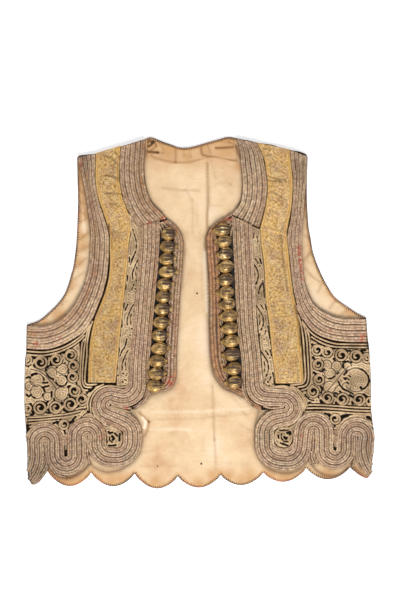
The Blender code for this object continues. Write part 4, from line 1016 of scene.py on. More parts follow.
# --- Brocade ribbons ---------------------------------------------------------------------------------------
# Yellow silk ribbon brocaded in dull silver, laid over each shoulder, where it is eased in with small
# gathers, and continued down the front by a second length with its end turned under.

# Gathered brocade over the left shoulder, down to its joint.
# outer x, outer y, inner x, inner y
SHOULDER_RIBBON_L = (
    (-134.3, 205.9, -103.6, 214.9), (-134.4, 188, -105, 190.6), (-134.3, 169.8, -104.7, 171.7),
    (-130.7, 149.5, -101.3, 150.9), (-123.6, 128.2, -94, 130.8), (-118.7, 113.1, -89, 119.3),
    (-117.4, 104.5, -88.8, 108.9),
)

# The same on the right.
# outer x, outer y, inner x, inner y
SHOULDER_RIBBON_R = (
    (116.6, 210.9, 75.8, 219.8), (118.7, 189.3, 84.9, 199.7), (120.5, 172.4, 87.5, 184.1),
    (120.1, 152.9, 89.3, 167.2), (118.2, 133.4, 88.5, 149), (114.5, 115.2, 84.9, 130),
    (112.5, 102.2, 80, 110.8),
)

# Brocade ribbon down the left front.
# outer x, outer y, inner x, inner y
FRONT_RIBBON_L = (
    (-116.9, 102.4, -89.3, 106.9), (-116.9, 86.6, -92.2, 87.2), (-116.4, 65.8, -93.2, 67.1),
    (-117.9, 46.3, -95.2, 47.6), (-122.3, 28.1, -97.1, 28.1), (-129.1, 9.9, -99.1, 8.6),
    (-135.1, -4.4, -100.6, -7), (-139.2, -20, -102.4, -22.6), (-142.3, -38.2, -104.1, -39.5),
    (-143.9, -57.7, -105.6, -57.7), (-144.7, -77.2, -107.5, -77.2), (-145, -90.7, -109.3, -91),
)

# The same on the right.
# outer x, outer y, inner x, inner y
FRONT_RIBBON_R = (
    (114.3, 100.1, 79.4, 108.4), (115.3, 86.6, 79.8, 91.8), (116.6, 72.3, 82.5, 74.9),
    (118.4, 54.1, 84.4, 55.4), (121.5, 29.4, 85.4, 29.4), (125.5, 9.9, 87.6, 6),
    (129.6, -9.6, 90.4, -13.5), (131.8, -36.9, 92.7, -38.2), (133.5, -56.4, 94.6, -56.4),
    (134.8, -74.6, 96.9, -74.6), (135.8, -92, 98.8, -92),
)

# Thickness of the brocade, and how much higher its end lies over the joint, from how far before it.
BROCADE = 1.0
OVERLAP, JOINT, JOINT_EASED = 0.9, 6, 4
# Slack of a gathered and of a flat ribbon; where across a ribbon its edge starts to sink, and over how much.
GATHERED_SLACK, FLAT_SLACK = 0.25, 0.15
SINK_FROM, SINK_OVER = 0.46, 0.04
TUCK_WIDTH, TUCK_EDGE, TUCK_DEPTH = 1.5, 1.3, 0.7

# Gathers and tucks in the ribbons, and painted shadow lines along their edges beside the bands: how deep,
# then x and y of each point.
TUCKS_AND_SHADOWS = (
    (0.6, -124.2, 204.1, -115.2, 200.9, -105.4, 192.7), (0.5, -110.4, 208.1, -104.1, 202.4),
    (0.75, -121.7, 178.9, -112.7, 176.4, -104.1, 174.9), (0.55, -111.9, 174.9, -103.6, 170.6),
    (0.6, -123.4, 155.4, -112.7, 154.8, -101.4, 154.4), (0.35, -106.2, 193.4, -105.4, 175.6),
    (0.3, -119.2, 197.1, -111.2, 190.6), (0.25, -113.8, 190.6, -106, 187.2),
    (0.3, -116.4, 167.2, -104, 163.3), (0.25, -117.7, 142.5, -103.4, 138.6),
    (0.25, -129, 139.9, -125.7, 120.4), (0.5, 83.2, 202.9, 93, 205.5),
    (0.7, 88.8, 178.1, 96.2, 175.6, 104.7, 172.9, 111.2, 173), (0.8, 89, 172.4, 96.9, 171.1, 106, 170.6),
    (0.5, 88.5, 155, 94.2, 156.8, 104.7, 151.6, 112.5, 146.4), (0.45, 89, 150.3, 94.2, 147.2, 100, 143.8),
    (0.3, 87.2, 191.9, 96.9, 189.9), (0.3, 89, 164.6, 99.5, 164.1), (0.25, 91.7, 134.7, 103.4, 129.5),
    (0.3, 106, 104.8, 109.9, 113.9, 113.8, 121.7), (0.4, 82.5, 212.7, 91.7, 214),
    (1, -117.9, 115.2, -118.2, 94.4, -119.2, 78.8, -120.8, 61.9, -123.4, 45, -127.3, 29.4, -131.7, 13.8,
        -135.6, 2.1),
    (0.7, 123.6, 9.9, 127.3, -4.4, 129.9, -22.6, 131.2, -42.1),
    (0.9, 130.4, 84, 131.4, 65.8, 131.2, 48.9), (0.6, -115.7, 103, -112.5, 104.8, -106.7, 106.1),
    (0.5, -113.1, 102.2, -114, 91.8, -114.4, 84), (0.5, 105.6, 100.9, 109.2, 65.8, 114.9, 27.2),
)

# Silk satin with a brocaded figure: a warm gold ground of fine slanting floats, and scrolling sprays in
# tarnished silver weft, greyer and flatter. Each edge has a plain selvedge and two woven lines. Painted
# shade lies in its gathers and beside the bands.
FIGURE = 13.0
brocade, tree, shader = finish("silk_satin_brocade", Metallic=0.25, Roughness=0.42, Sheen_Weight=0.15)
uv = add(tree, "UVMap", uv_map="UVMap")
edge, tuck_shade = [add(tree, "Attribute", attribute_name=name).outputs["Fac"] for name in ("edge", "tuck_shade")]
figure = {"Vector": uv, "Scale": 1 / (FIGURE * MM), "Detail": 3.0, "Distortion": 1.8}
sprays = add(tree, "TexNoise", figure)
outlines = ("#EECC8C", "#DCB67A", "#B8945C", "#E0BC80", "#EACE98", "#C8AA80", "#DABC90", "#EED2A0")
figured = ramp(tree, sprays, *zip((0.34, 0.4, 0.43, 0.46, 0.51, 0.55, 0.6, 0.66), outlines))
tone = add(tree, "TexNoise", {"Vector": uv, "Scale": 340.0, "Detail": 4.0, "Roughness": 0.75})
plain = ramp(tree, tone, (0.35, "#BC9454"), (0.5, "#D6B06E"), (0.65, "#EACB92"))
fine = ramp(tree, tone, (0.36, "#9E8E78"), (0.5, "#EEE6DC"), (0.62, "#FFFFFF"))
flecked = add(tree, "Mix", {0: 1.0, 6: figured, 7: fine}, data_type="RGBA", blend_type="MULTIPLY")
inside = add(tree, "MapRange", {"Value": edge, "From Min": 4.2, "From Max": 5.2})
woven = add(tree, "Mix", {0: inside, 6: plain, 7: flecked}, data_type="RGBA")
tired = add(tree, "TexNoise", {"Vector": uv, "Scale": 52.0, "Detail": 2.0})
rubbing = ramp(tree, tired, (0.32, "#E2D8DA"), (0.5, "#FFFAF0"), (0.66, "#FFF8DA"))
rubbed = add(tree, "Mix", {0: 1.0, 6: woven, 7: rubbing}, data_type="RGBA", blend_type="MULTIPLY")
# Painted shade darkens the ribbons towards their lower ends.
down = add(tree, "SeparateXYZ", {"Vector": add(tree, "TexCoord").outputs["Object"]}).outputs["Y"]
lower_shading = {"Value": down, "From Min": -0.07, "From Max": 0.09, "To Min": 0.84, "To Max": 0.97}
lower_shade = add(tree, "MapRange", lower_shading)
cloth = add(tree, "VectorMath", {0: rubbed, "Scale": lower_shade}, operation="SCALE")
# Painted shade in the gathers and along the bands' edges.
cloth = add(tree, "Mix", {0: tuck_shade, 6: cloth, 7: linear("#5E4420")}, data_type="RGBA")
lines = add(tree, "Math", {0: edge, 1: 1.5}, operation="PINGPONG")
falling = {"Value": lines, "From Min": 0.3, "From Max": 0.9, "To Min": 1.0, "To Max": 0.0}
line = add(tree, "MapRange", falling)
border = add(tree, "Math", {0: edge, 1: 3.2, 2: 1.6}, operation="COMPARE")
drawn = add(tree, "Math", {0: line, 1: border}, operation="MULTIPLY")
half = add(tree, "Math", {0: drawn, 1: 0.6}, operation="MULTIPLY")
lined = add(tree, "Mix", {0: half, 6: cloth, 7: linear("#AE7336")}, data_type="RGBA")
floats = add(tree, "Mapping", {"Vector": uv, "Rotation": (0, 0, 0.7)})
satin = add(tree, "TexWave", {"Vector": floats, "Scale": 260.0, "Distortion": 1.5}).outputs["Fac"]
relief = add(tree, "Math", {0: satin, 1: 0.35, 2: sprays}, operation="MULTIPLY_ADD")
raised = add(tree, "Bump", {"Height": relief, "Strength": 0.6, "Distance": 0.0005})
join(tree, shader, {"Base Color": lined, "Normal": raised})


def sunk(across, depth):
    """How far a ribbon sinks at its edges, under the cords beside it."""
    return depth * np.clip((np.abs(across - 0.5) - SINK_FROM) / SINK_OVER, 0, 1)


def eased_in(u, v, across):
    """Top of a shoulder ribbon: slack cloth, sunk at its edges, lying over the front ribbon at its end."""
    slack = GATHERED_SLACK * np.sin(v / 4.5 + u / 6) * np.sin(math.pi * across)
    over_joint = np.clip((v - v.max() + JOINT) / JOINT_EASED, 0, 1)
    return BROCADE + slack + OVERLAP * over_joint - sunk(across, 0.5)


def flat_ribbon(u, v, across):
    """Top of a front ribbon: a little slack, and sunk at its edges."""
    slack = FLAT_SLACK * np.sin(v / 9) * np.sin(math.pi * across)
    return BROCADE + slack - sunk(across, 0.6)


def tucked(mesh):
    """Sinks the upper side of a ribbon into its gathers, and writes how deep they are, for painted shade."""
    spots = spots_of(mesh)
    deep = np.zeros(len(spots))
    for depth, *line in TUCKS_AND_SHADOWS:
        apart = distances(smooth(line_of(line), 4), spots[:, :2] / MM)[0]
        deep = np.maximum(deep, depth * np.clip(TUCK_EDGE - apart / TUCK_WIDTH, 0, 1))
    upper = np.arange(len(spots)) < len(spots) // 2
    spots[:, 2] -= upper * deep * TUCK_DEPTH * MM
    mesh.vertices.foreach_set("co", spots.ravel())
    mark(mesh, "tuck_shade", deep)


def widened(rows, out, before, after):
    """Rows with both edges moved out, so that they tuck under the cords, and with longer ends."""
    rows = np.array(rows, float)
    free, inner = rows[:, :2], rows[:, 2:]
    across = (inner - free) / np.hypot(*(inner - free).T)[:, None]
    rows = np.hstack([free - across * out, inner + across * out])
    first, last = rows[0] - rows[1], rows[-1] - rows[-2]
    rows[0] += first / np.hypot(*first[:2]) * before
    rows[-1] += last / np.hypot(*last[:2]) * after
    return rows


ribbons = {
    "shoulder_ribbon_left": (SHOULDER_RIBBON_L, (0.030, 0.102)),
    "shoulder_ribbon_right": (SHOULDER_RIBBON_R, (0.036, 0.109)),
    "front_ribbon_left": (FRONT_RIBBON_L, (0.034, 0.199)),
    "front_ribbon_right": (FRONT_RIBBON_R, (0.036, 0.200)),
}
for node, (table, size) in ribbons.items():
    shoulder = node.startswith("shoulder")
    rows = widened(table, 1.0, 1.5, 2.2) if shoulder else widened(table, 0, 0, 0)
    over = eased_in if shoulder else flat_ribbon
    mesh = laid_strip(node, smooth(rows, 12), np.linspace(0, 1, 33), on_front, over)
    tucked(mesh)
    ribbon = place(node + "_brocade", mesh, brocade, "brocade")
    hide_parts(node)

# --- Button strips -----------------------------------------------------------------------------------------
# A strip of black silk faces each front under the buttons, between the braid and the corded band.

# Dark strip under the left buttons.
# edge x, edge y, inner x, inner y
BUTTON_STRIP_L = (
    (-46.7, 111.3, -49.5, 112.6), (-41, 104.9, -49.8, 107.4), (-34.6, 95.7, -50.2, 97),
    (-32.5, 85.3, -51.1, 85.3), (-33.3, 68.4, -52.4, 68.4), (-35.1, 42.4, -54.7, 42.4),
    (-36.8, 16.4, -57.1, 16.4), (-38.4, -9.6, -59.1, -9.6), (-40.6, -42.1, -61.8, -42.1),
    (-41.3, -66.2, -63.8, -66.8), (-41.3, -78, -64.9, -78.5), (-43, -85.3, -65.4, -86.3),
    (-47.5, -91, -65.3, -92.2), (-55.2, -93.6, -65.4, -95.4),
)

# The same on the right.
# edge x, edge y, inner x, inner y
BUTTON_STRIP_R = (
    (34.3, 113.9, 40.4, 117), (28.5, 107.1, 40.8, 108.7), (24.6, 101.1, 41.3, 100.9),
    (22.4, 94.4, 42.2, 94.4), (22.2, 85.3, 42.6, 85.3), (23.8, 68.4, 43.6, 68.4),
    (25.1, 42.4, 44.9, 42.4), (25.6, 16.4, 46, 16.4), (26.3, -9.6, 46.9, -9.6), (27, -35.6, 49.1, -35.6),
    (28.6, -59.3, 52.9, -59), (31.1, -71.8, 54.7, -70.7), (34.8, -79.3, 56.3, -81.1),
    (40.2, -87.4, 56.6, -88.9), (47.5, -93.6, 56.6, -95.4),
)

STRIP = 1.2
# Dull black silk, slightly ribbed across the strip.
RIB = 1.5
silk, tree, shader = finish("black_ribbed_silk", Roughness=0.7, Sheen_Weight=0.05)
uv = add(tree, "UVMap", uv_map="UVMap")
waves = {"Vector": uv, "Scale": 0.314 / (RIB * MM), "Distortion": 1.0}
ribs = add(tree, "TexWave", waves, bands_direction="Y").outputs["Fac"]
dust = add(tree, "TexNoise", {"Vector": uv, "Scale": 160.0, "Detail": 4.0})
dark = ramp(tree, dust, (0.35, "#0F0D0F"), (0.7, "#241F1F"))
raised = add(tree, "Bump", {"Height": ribs, "Strength": 0.4, "Distance": 0.0004})
join(tree, shader, {"Base Color": dark, "Normal": raised})


def strip_over(u, v, across):
    """Thickness of a strip, which is even."""
    return np.full(len(u), STRIP)


for side, table in (("left", BUTTON_STRIP_L), ("right", BUTTON_STRIP_R)):
    node = "button_strip_" + side
    rows = widened(table, 0.8, 0.8, 0.8)
    mesh = laid_strip(node, smooth(rows, 6), np.linspace(0, 1, 9), on_front, strip_over)
    cloth = place(node + "_silk", mesh, silk, "strip")
    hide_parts(node)

# --- Buttons -----------------------------------------------------------------------------------------------
# Thirteen hollow gilt-brass almonds down each side, raised from sheet in two halves, with a collar and a
# small knob at the point. Each is sewn down lying on its side with its point towards the opening.

# Left buttons, top to bottom.
# x of the crown, x of the point, y
BUTTONS_L = (
    (-48.8, -27.9, 102.2), (-50.1, -27.9, 85.9), (-51.4, -29.2, 69.7), (-52, -26.7, 53),
    (-54.6, -31.9, 36.7), (-55.9, -34.5, 20.8), (-57.9, -34.5, 4.4), (-59.1, -35.8, -12.6),
    (-61.1, -38.4, -29.4), (-61.8, -37.1, -46.5), (-64.4, -41, -63.2), (-65.7, -42.2, -79.3),
    (-67.6, -44.9, -95.2),
)

# Right buttons, top to bottom.
# x of the crown, x of the point, y
BUTTONS_R = (
    (39.6, 15.6, 107.1), (41, 18.2, 92.3), (42.2, 20.8, 76.4), (43.6, 20.8, 59.8), (43.6, 20.8, 42.6),
    (44.1, 20.8, 26), (46.1, 23.4, 10.9), (48.8, 24.1, -4.4), (49.4, 26, -20.5), (51.4, 26.7, -37.2),
    (52.6, 27.9, -54.3), (54, 30.6, -72.8), (55.2, 31.9, -90.7),
)

# Outline of an almond: distance from its crown, radius.
ALMOND = (
    (0, 0), (0.3, 1.5), (1.2, 3.4), (2.8, 5.4), (4.8, 7), (7, 8.1), (9.2, 8.6), (11.4, 8.5), (13.4, 7.8),
    (15.4, 6.5), (17.2, 4.9), (18.6, 3.5), (19.6, 2.6), (20.6, 1.9), (21.6, 1.1), (22, 0),
)
BUTTON_SIDES = 48
# Flutes run along a button between these two distances from its crown.
FLUTES, FLUTE_DEPTH, FLUTED = 11, 0.035, (1, 17)
# Where its collar and its knob are, as parts of its length.
COLLAR, KNOB = 0.76, 0.93
BUTTON_FLATTEN = 0.72
CROWN_OVER = 1.4
BUTTON_LIFT = 6.5
# How far the point of a button hangs above or below its crown.
LEAN = {"left": 0.8, "right": -2.4}
# A dip of the cord between two buttons: how far it reaches, its ends, its radius and its height.
DIP, DIP_END, DIP_RADIUS, DIP_LIFT = 5.0, 3.0, 1.3, 1.6

# Gilt brass, stamped and handled: bright gold where it is rubbed, grey-brown where the gilding has gone,
# dark in the hollows by the collar. Its upper side and right end carry a painted dark reflection.
gilt, tree, shader = finish("worn_gilt_brass", Metallic=0.7)
place_on = add(tree, "TexCoord").outputs["Object"]
rub = add(tree, "TexNoise", {"Vector": place_on, "Scale": 150.0, "Detail": 5.0, "Roughness": 0.65})
brass = ramp(tree, rub, (0.32, "#725632"), (0.44, "#A48048"), (0.56, "#CEA866"), (0.68, "#F4DCA8"))
ungilt_and_shaded = add(tree, "Attribute", attribute_name="ungilt_and_shaded").outputs["Fac"]
lost = add(tree, "Math", {0: rub, 1: -3.0, 2: 1.6}, operation="MULTIPLY_ADD")
gone = add(tree, "Math", {0: ungilt_and_shaded, 1: lost}, operation="ADD", use_clamp=True)
bare_and_shaded = add(tree, "Math", {0: gone, 1: ungilt_and_shaded}, operation="MULTIPLY", use_clamp=True)
metal = add(tree, "Mix", {0: bare_and_shaded, 6: brass, 7: linear("#504038")}, data_type="RGBA")
rough = add(tree, "MapRange", {"Value": bare_and_shaded, "To Min": 0.4, "To Max": 0.6})
dents = add(tree, "Bump", {"Height": rub, "Strength": 0.35, "Distance": 0.0008})
join(tree, shader, {"Base Color": metal, "Roughness": rough, "Normal": dents})


def almond(seat, lean, rolled):
    """Mesh of a button: its outline turned round its axis, fluted, flattened and laid down on its seat."""
    crown, point, y, height = seat
    bm = bmesh.new()
    line = [bm.verts.new((x, 0, r)) for x, r in ALMOND]
    edges = [bm.edges.new(pair) for pair in zip(line, line[1:])]
    turn = {"cent": (0, 0, 0), "axis": (1, 0, 0), "steps": BUTTON_SIDES, "use_merge": True}
    bmesh.ops.spin(bm, geom=line + edges, angle=math.tau, **turn)
    bmesh.ops.remove_doubles(bm, verts=bm.verts[:], dist=0.01)
    for vert in bm.verts:
        flute = math.cos(FLUTES * math.atan2(vert.co.z, vert.co.y) + rolled)
        wider = 1 + FLUTE_DEPTH * flute * (FLUTED[0] < vert.co.x < FLUTED[1])
        vert.co.y, vert.co.z = vert.co.y * wider, vert.co.z * wider
    bmesh.ops.scale(bm, vec=((point - crown) / ALMOND[-1][0], 1, BUTTON_FLATTEN), verts=bm.verts[:])
    for vert in bm.verts:
        vert.co.y += lean * (vert.co.x / (point - crown) - 0.5)
    bmesh.ops.translate(bm, vec=(crown, y, height), verts=bm.verts[:])
    bmesh.ops.scale(bm, vec=(MM, MM, MM), verts=bm.verts[:])
    bmesh.ops.recalc_face_normals(bm, faces=bm.faces[:])
    mesh = bpy.data.meshes.new("almond")
    bm.to_mesh(mesh)
    bm.free()
    return mesh


def gilt_loss_and_shade(spots, seat, side, rolled):
    """Gilt lost by flutes and collar, plus painted reflection: dark to the upper right, light on the top
    rim.
    """
    crown, point, y, height = seat
    along = (spots[:, 0] - crown) / (point - crown)
    up_side = (spots[:, 1] - y) / ALMOND[7][1]
    round_it = np.arctan2((spots[:, 2] - height) / BUTTON_FLATTEN, spots[:, 1] - y)
    hollow = 0.5 - 0.5 * np.cos(FLUTES * round_it + rolled)
    from_left = along if side == "left" else 1 - along
    gone = np.clip(0.75 + up_side + 0.7 * from_left, 0, 1) * np.minimum(1, 0.3 + 1.5 * from_left)
    gone += 0.5 * np.exp(-(((along - COLLAR) / 0.035) ** 2))
    gone *= np.clip(8 * (KNOB - along), 0, 1)
    return gone * np.minimum(1, 0.55 + 0.6 * hollow) * (1 - 0.6 * (up_side > 0.8))


for side, table in (("left", BUTTONS_L), ("right", BUTTONS_R)):
    for number, (crown, point, y) in enumerate(table, 1):
        rolled, tarnished = random.uniform(0, math.tau), random.uniform(0.8, 1.35)
        crown += CROWN_OVER * np.sign(crown)
        height = on_front(np.array([(crown + point) / 2, y])) + BUTTON_LIFT
        seat = (crown, point, y, height)
        mesh = almond(seat, LEAN[side], rolled)
        mark(mesh, "ungilt_and_shaded", tarnished * gilt_loss_and_shade(spots_of(mesh) / MM, seat, side, rolled))
        node = f"button_{side}_{number:02d}"
        button = place(node + "_gilt", mesh, gilt, "gilt")
        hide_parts(node)

# The innermost cord of each edge braid dips in between the points of the buttons.
dips = []
for table in (BUTTONS_L, BUTTONS_R):
    for (_, above, y_above), (_, below, y_below) in zip(table, table[1:]):
        side = np.sign(above)
        for reach in (DIP, DIP - 2 * DIP_RADIUS):
            back = side * (reach - DIP_END)
            middle = ((above + below) / 2 + side * reach, (y_above + y_below) / 2)
            line = [(above + back, y_above - DIP_END), middle, (below + back, y_below + DIP_END)]
            dips.append(smooth(line, 6))
laid = [np.column_stack([line, on_front(line) + DIP_LIFT]) for line in dips]
tints = [np.full(len(line), random.uniform(0.05, 0.5)) for line in laid]
mesh = swept("dipping_cords", laid, [DIP_RADIUS] * len(laid), CORD_SIDES, tints)
place("dipping_cords", mesh, silver, "cord")

# --- Couched grounds ---------------------------------------------------------------------------------------
# The panel under each armhole and the strip between ribbon and band are filled with fine cord laid in
# rows that follow the outlines of leaves and flowers. The black wool shows through slits left between
# them.

# Outline of each ground, x and y of each point: the rows above the hem band, the flower panels, the
# medallions in the big turns, and the corners between them.
GROUND_EDGES = {
    "rows_left": (
        -227, -136.2, -194.3, -134.4, -168.3, -130.8, -150.2, -125.8, -145.5, -129.7, -152.8, -133.9,
        -156.7, -139.6, -163.2, -143.5, -168.3, -150.5, -172.2, -160.4, -178.2, -163, -183.4, -154.4,
        -194.3, -147.2, -207.3, -145.1, -226.1, -148.2,
    ),
    "rows_right": (
        137.9, -126.4, 156.7, -126.4, 182.7, -127.9, 223.2, -129.7, 223.7, -142, 211.2, -140.1,
        197.5, -142, 187.3, -149.5, 181.3, -160.4, 173.8, -160.9, 167.8, -149.2, 157.4, -140.1,
        146.2, -137.8, 139, -138.1, 136.9, -131.8,
    ),
    "left": (
        -226.7, -58.1, -206.1, -59.8, -186.6, -56.2, -168.3, -48.1, -156.3, -38.7, -155.1, -48.6,
        -156.1, -68.1, -156.4, -86.3, -153, -99.1, -145, -104, -139.8, -102.7, -144.2, -109.7,
        -146.8, -117.5, -146.8, -124.5, -152.8, -124.8, -168.3, -129, -187.8, -132.6, -207.3, -134.3,
        -227, -134.7, -227.9, -113.6, -227.6, -87.6,
    ),
    "right": (
        144.7, -34.8, 154.1, -40, 164.5, -44.7, 177.5, -47.1, 195.7, -47.3, 220.1, -47.3, 221.9, -64.2,
        222.4, -82.4, 222.7, -95.4, 222.7, -108.4, 222.7, -121.7, 202.2, -120.9, 182.7, -119.3,
        156.7, -117.8, 141.1, -117.8, 139, -113.6, 133.2, -105, 135.1, -101.9, 141.3, -98.5, 145, -92.8,
        146.2, -81.1, 145.5, -61.6, 143.9, -44.7,
    ),
    "medallion_left": (
        -124.7, -153.4, -121.5, -148.2, -116.4, -145.9, -111.2, -145.6, -105.4, -147.9, -101.3, -154.6,
        -99.5, -160.4, -99.7, -166.9, -102, -173.4, -107.2, -178.4, -113.1, -179.4, -119, -178.1,
        -123.1, -174.1, -125.5, -166.9, -126, -159.9,
    ),
    "medallion_right": (
        120.2, -153.9, 115, -149, 108.5, -147.9, 102.6, -149.5, 98.2, -153.9, 96.6, -160.4, 96.9, -165.6,
        98.9, -170.6, 103.4, -174.5, 109.9, -175.8, 115.8, -174.5, 119.2, -170.3, 121, -165.6,
        121.5, -159.1,
    ),
    "hem_left": (
        -141.1, -129.9, -137.2, -134.4, -132.6, -140.3, -126.8, -145.3, -120.2, -148.7, -123.9, -152.6,
        -127, -157.8, -130, -153.3, -135.2, -147.4, -142.3, -142.7, -150.2, -140.9, -154.7, -140.1,
        -152.1, -134.9, -147.6, -131.3,
    ),
    "hem_right": (
        135.8, -130.5, 132, -135.7, 126.8, -141.6, 120.2, -146.8, 115, -148.7, 120.8, -152.6,
        124.9, -157.8, 128.7, -151.3, 134.6, -144.3, 142.3, -139.1, 147.6, -137.8, 145, -133.1,
        141.1, -130,
    ),
}

# Petals of the flower panels: x, y, radius, angle where the outline of a petal starts.
PETALS = {
    "left": (
        (-192.3, -78, 6.6, -20), (-178, -72.8, 7, -150), (-179.5, -88.4, 7.3, 170),
        (-179.8, -105.3, 8.6, 60), (-211.8, -87.6, 8.7, -20), (-221, -95.4, 6, 0),
        (-211.2, -102.7, 8.8, 30), (-197.5, -109.2, 5.7, 60),
    ),
    "right": (
        (165.2, -68.1, 6.8, -30), (178.2, -69.4, 6.5, -130), (169.7, -79, 7, 160),
        (168.9, -96.7, 7.8, 60), (204, -87.1, 15.6, 210), (191.1, -96.1, 5.5, 60), (192.5, -69.4, 5.2, 0),
    ),
}

# Seams drawn between rows: x and y of each point.
SEAMS = {
    "left": (
        (-220.3, -73.3, -207.3, -76.4, -199.6, -82.4, -191.8, -91.5, -186.6, -98.7),
        (-212.6, -72.5, -202.2, -75.9, -194.3, -83.7, -186.6, -92.8, -181.3, -96.7),
    ),
    "right": (
        (165.8, -101.9, 177.5, -88.9, 186.6, -77.2, 194.3, -69.4), (173.6, -103.2, 180.1, -94.1),
        (195.1, -74.6, 199.6, -71.9, 206.1, -72.3, 210, -74.6),
    ),
}

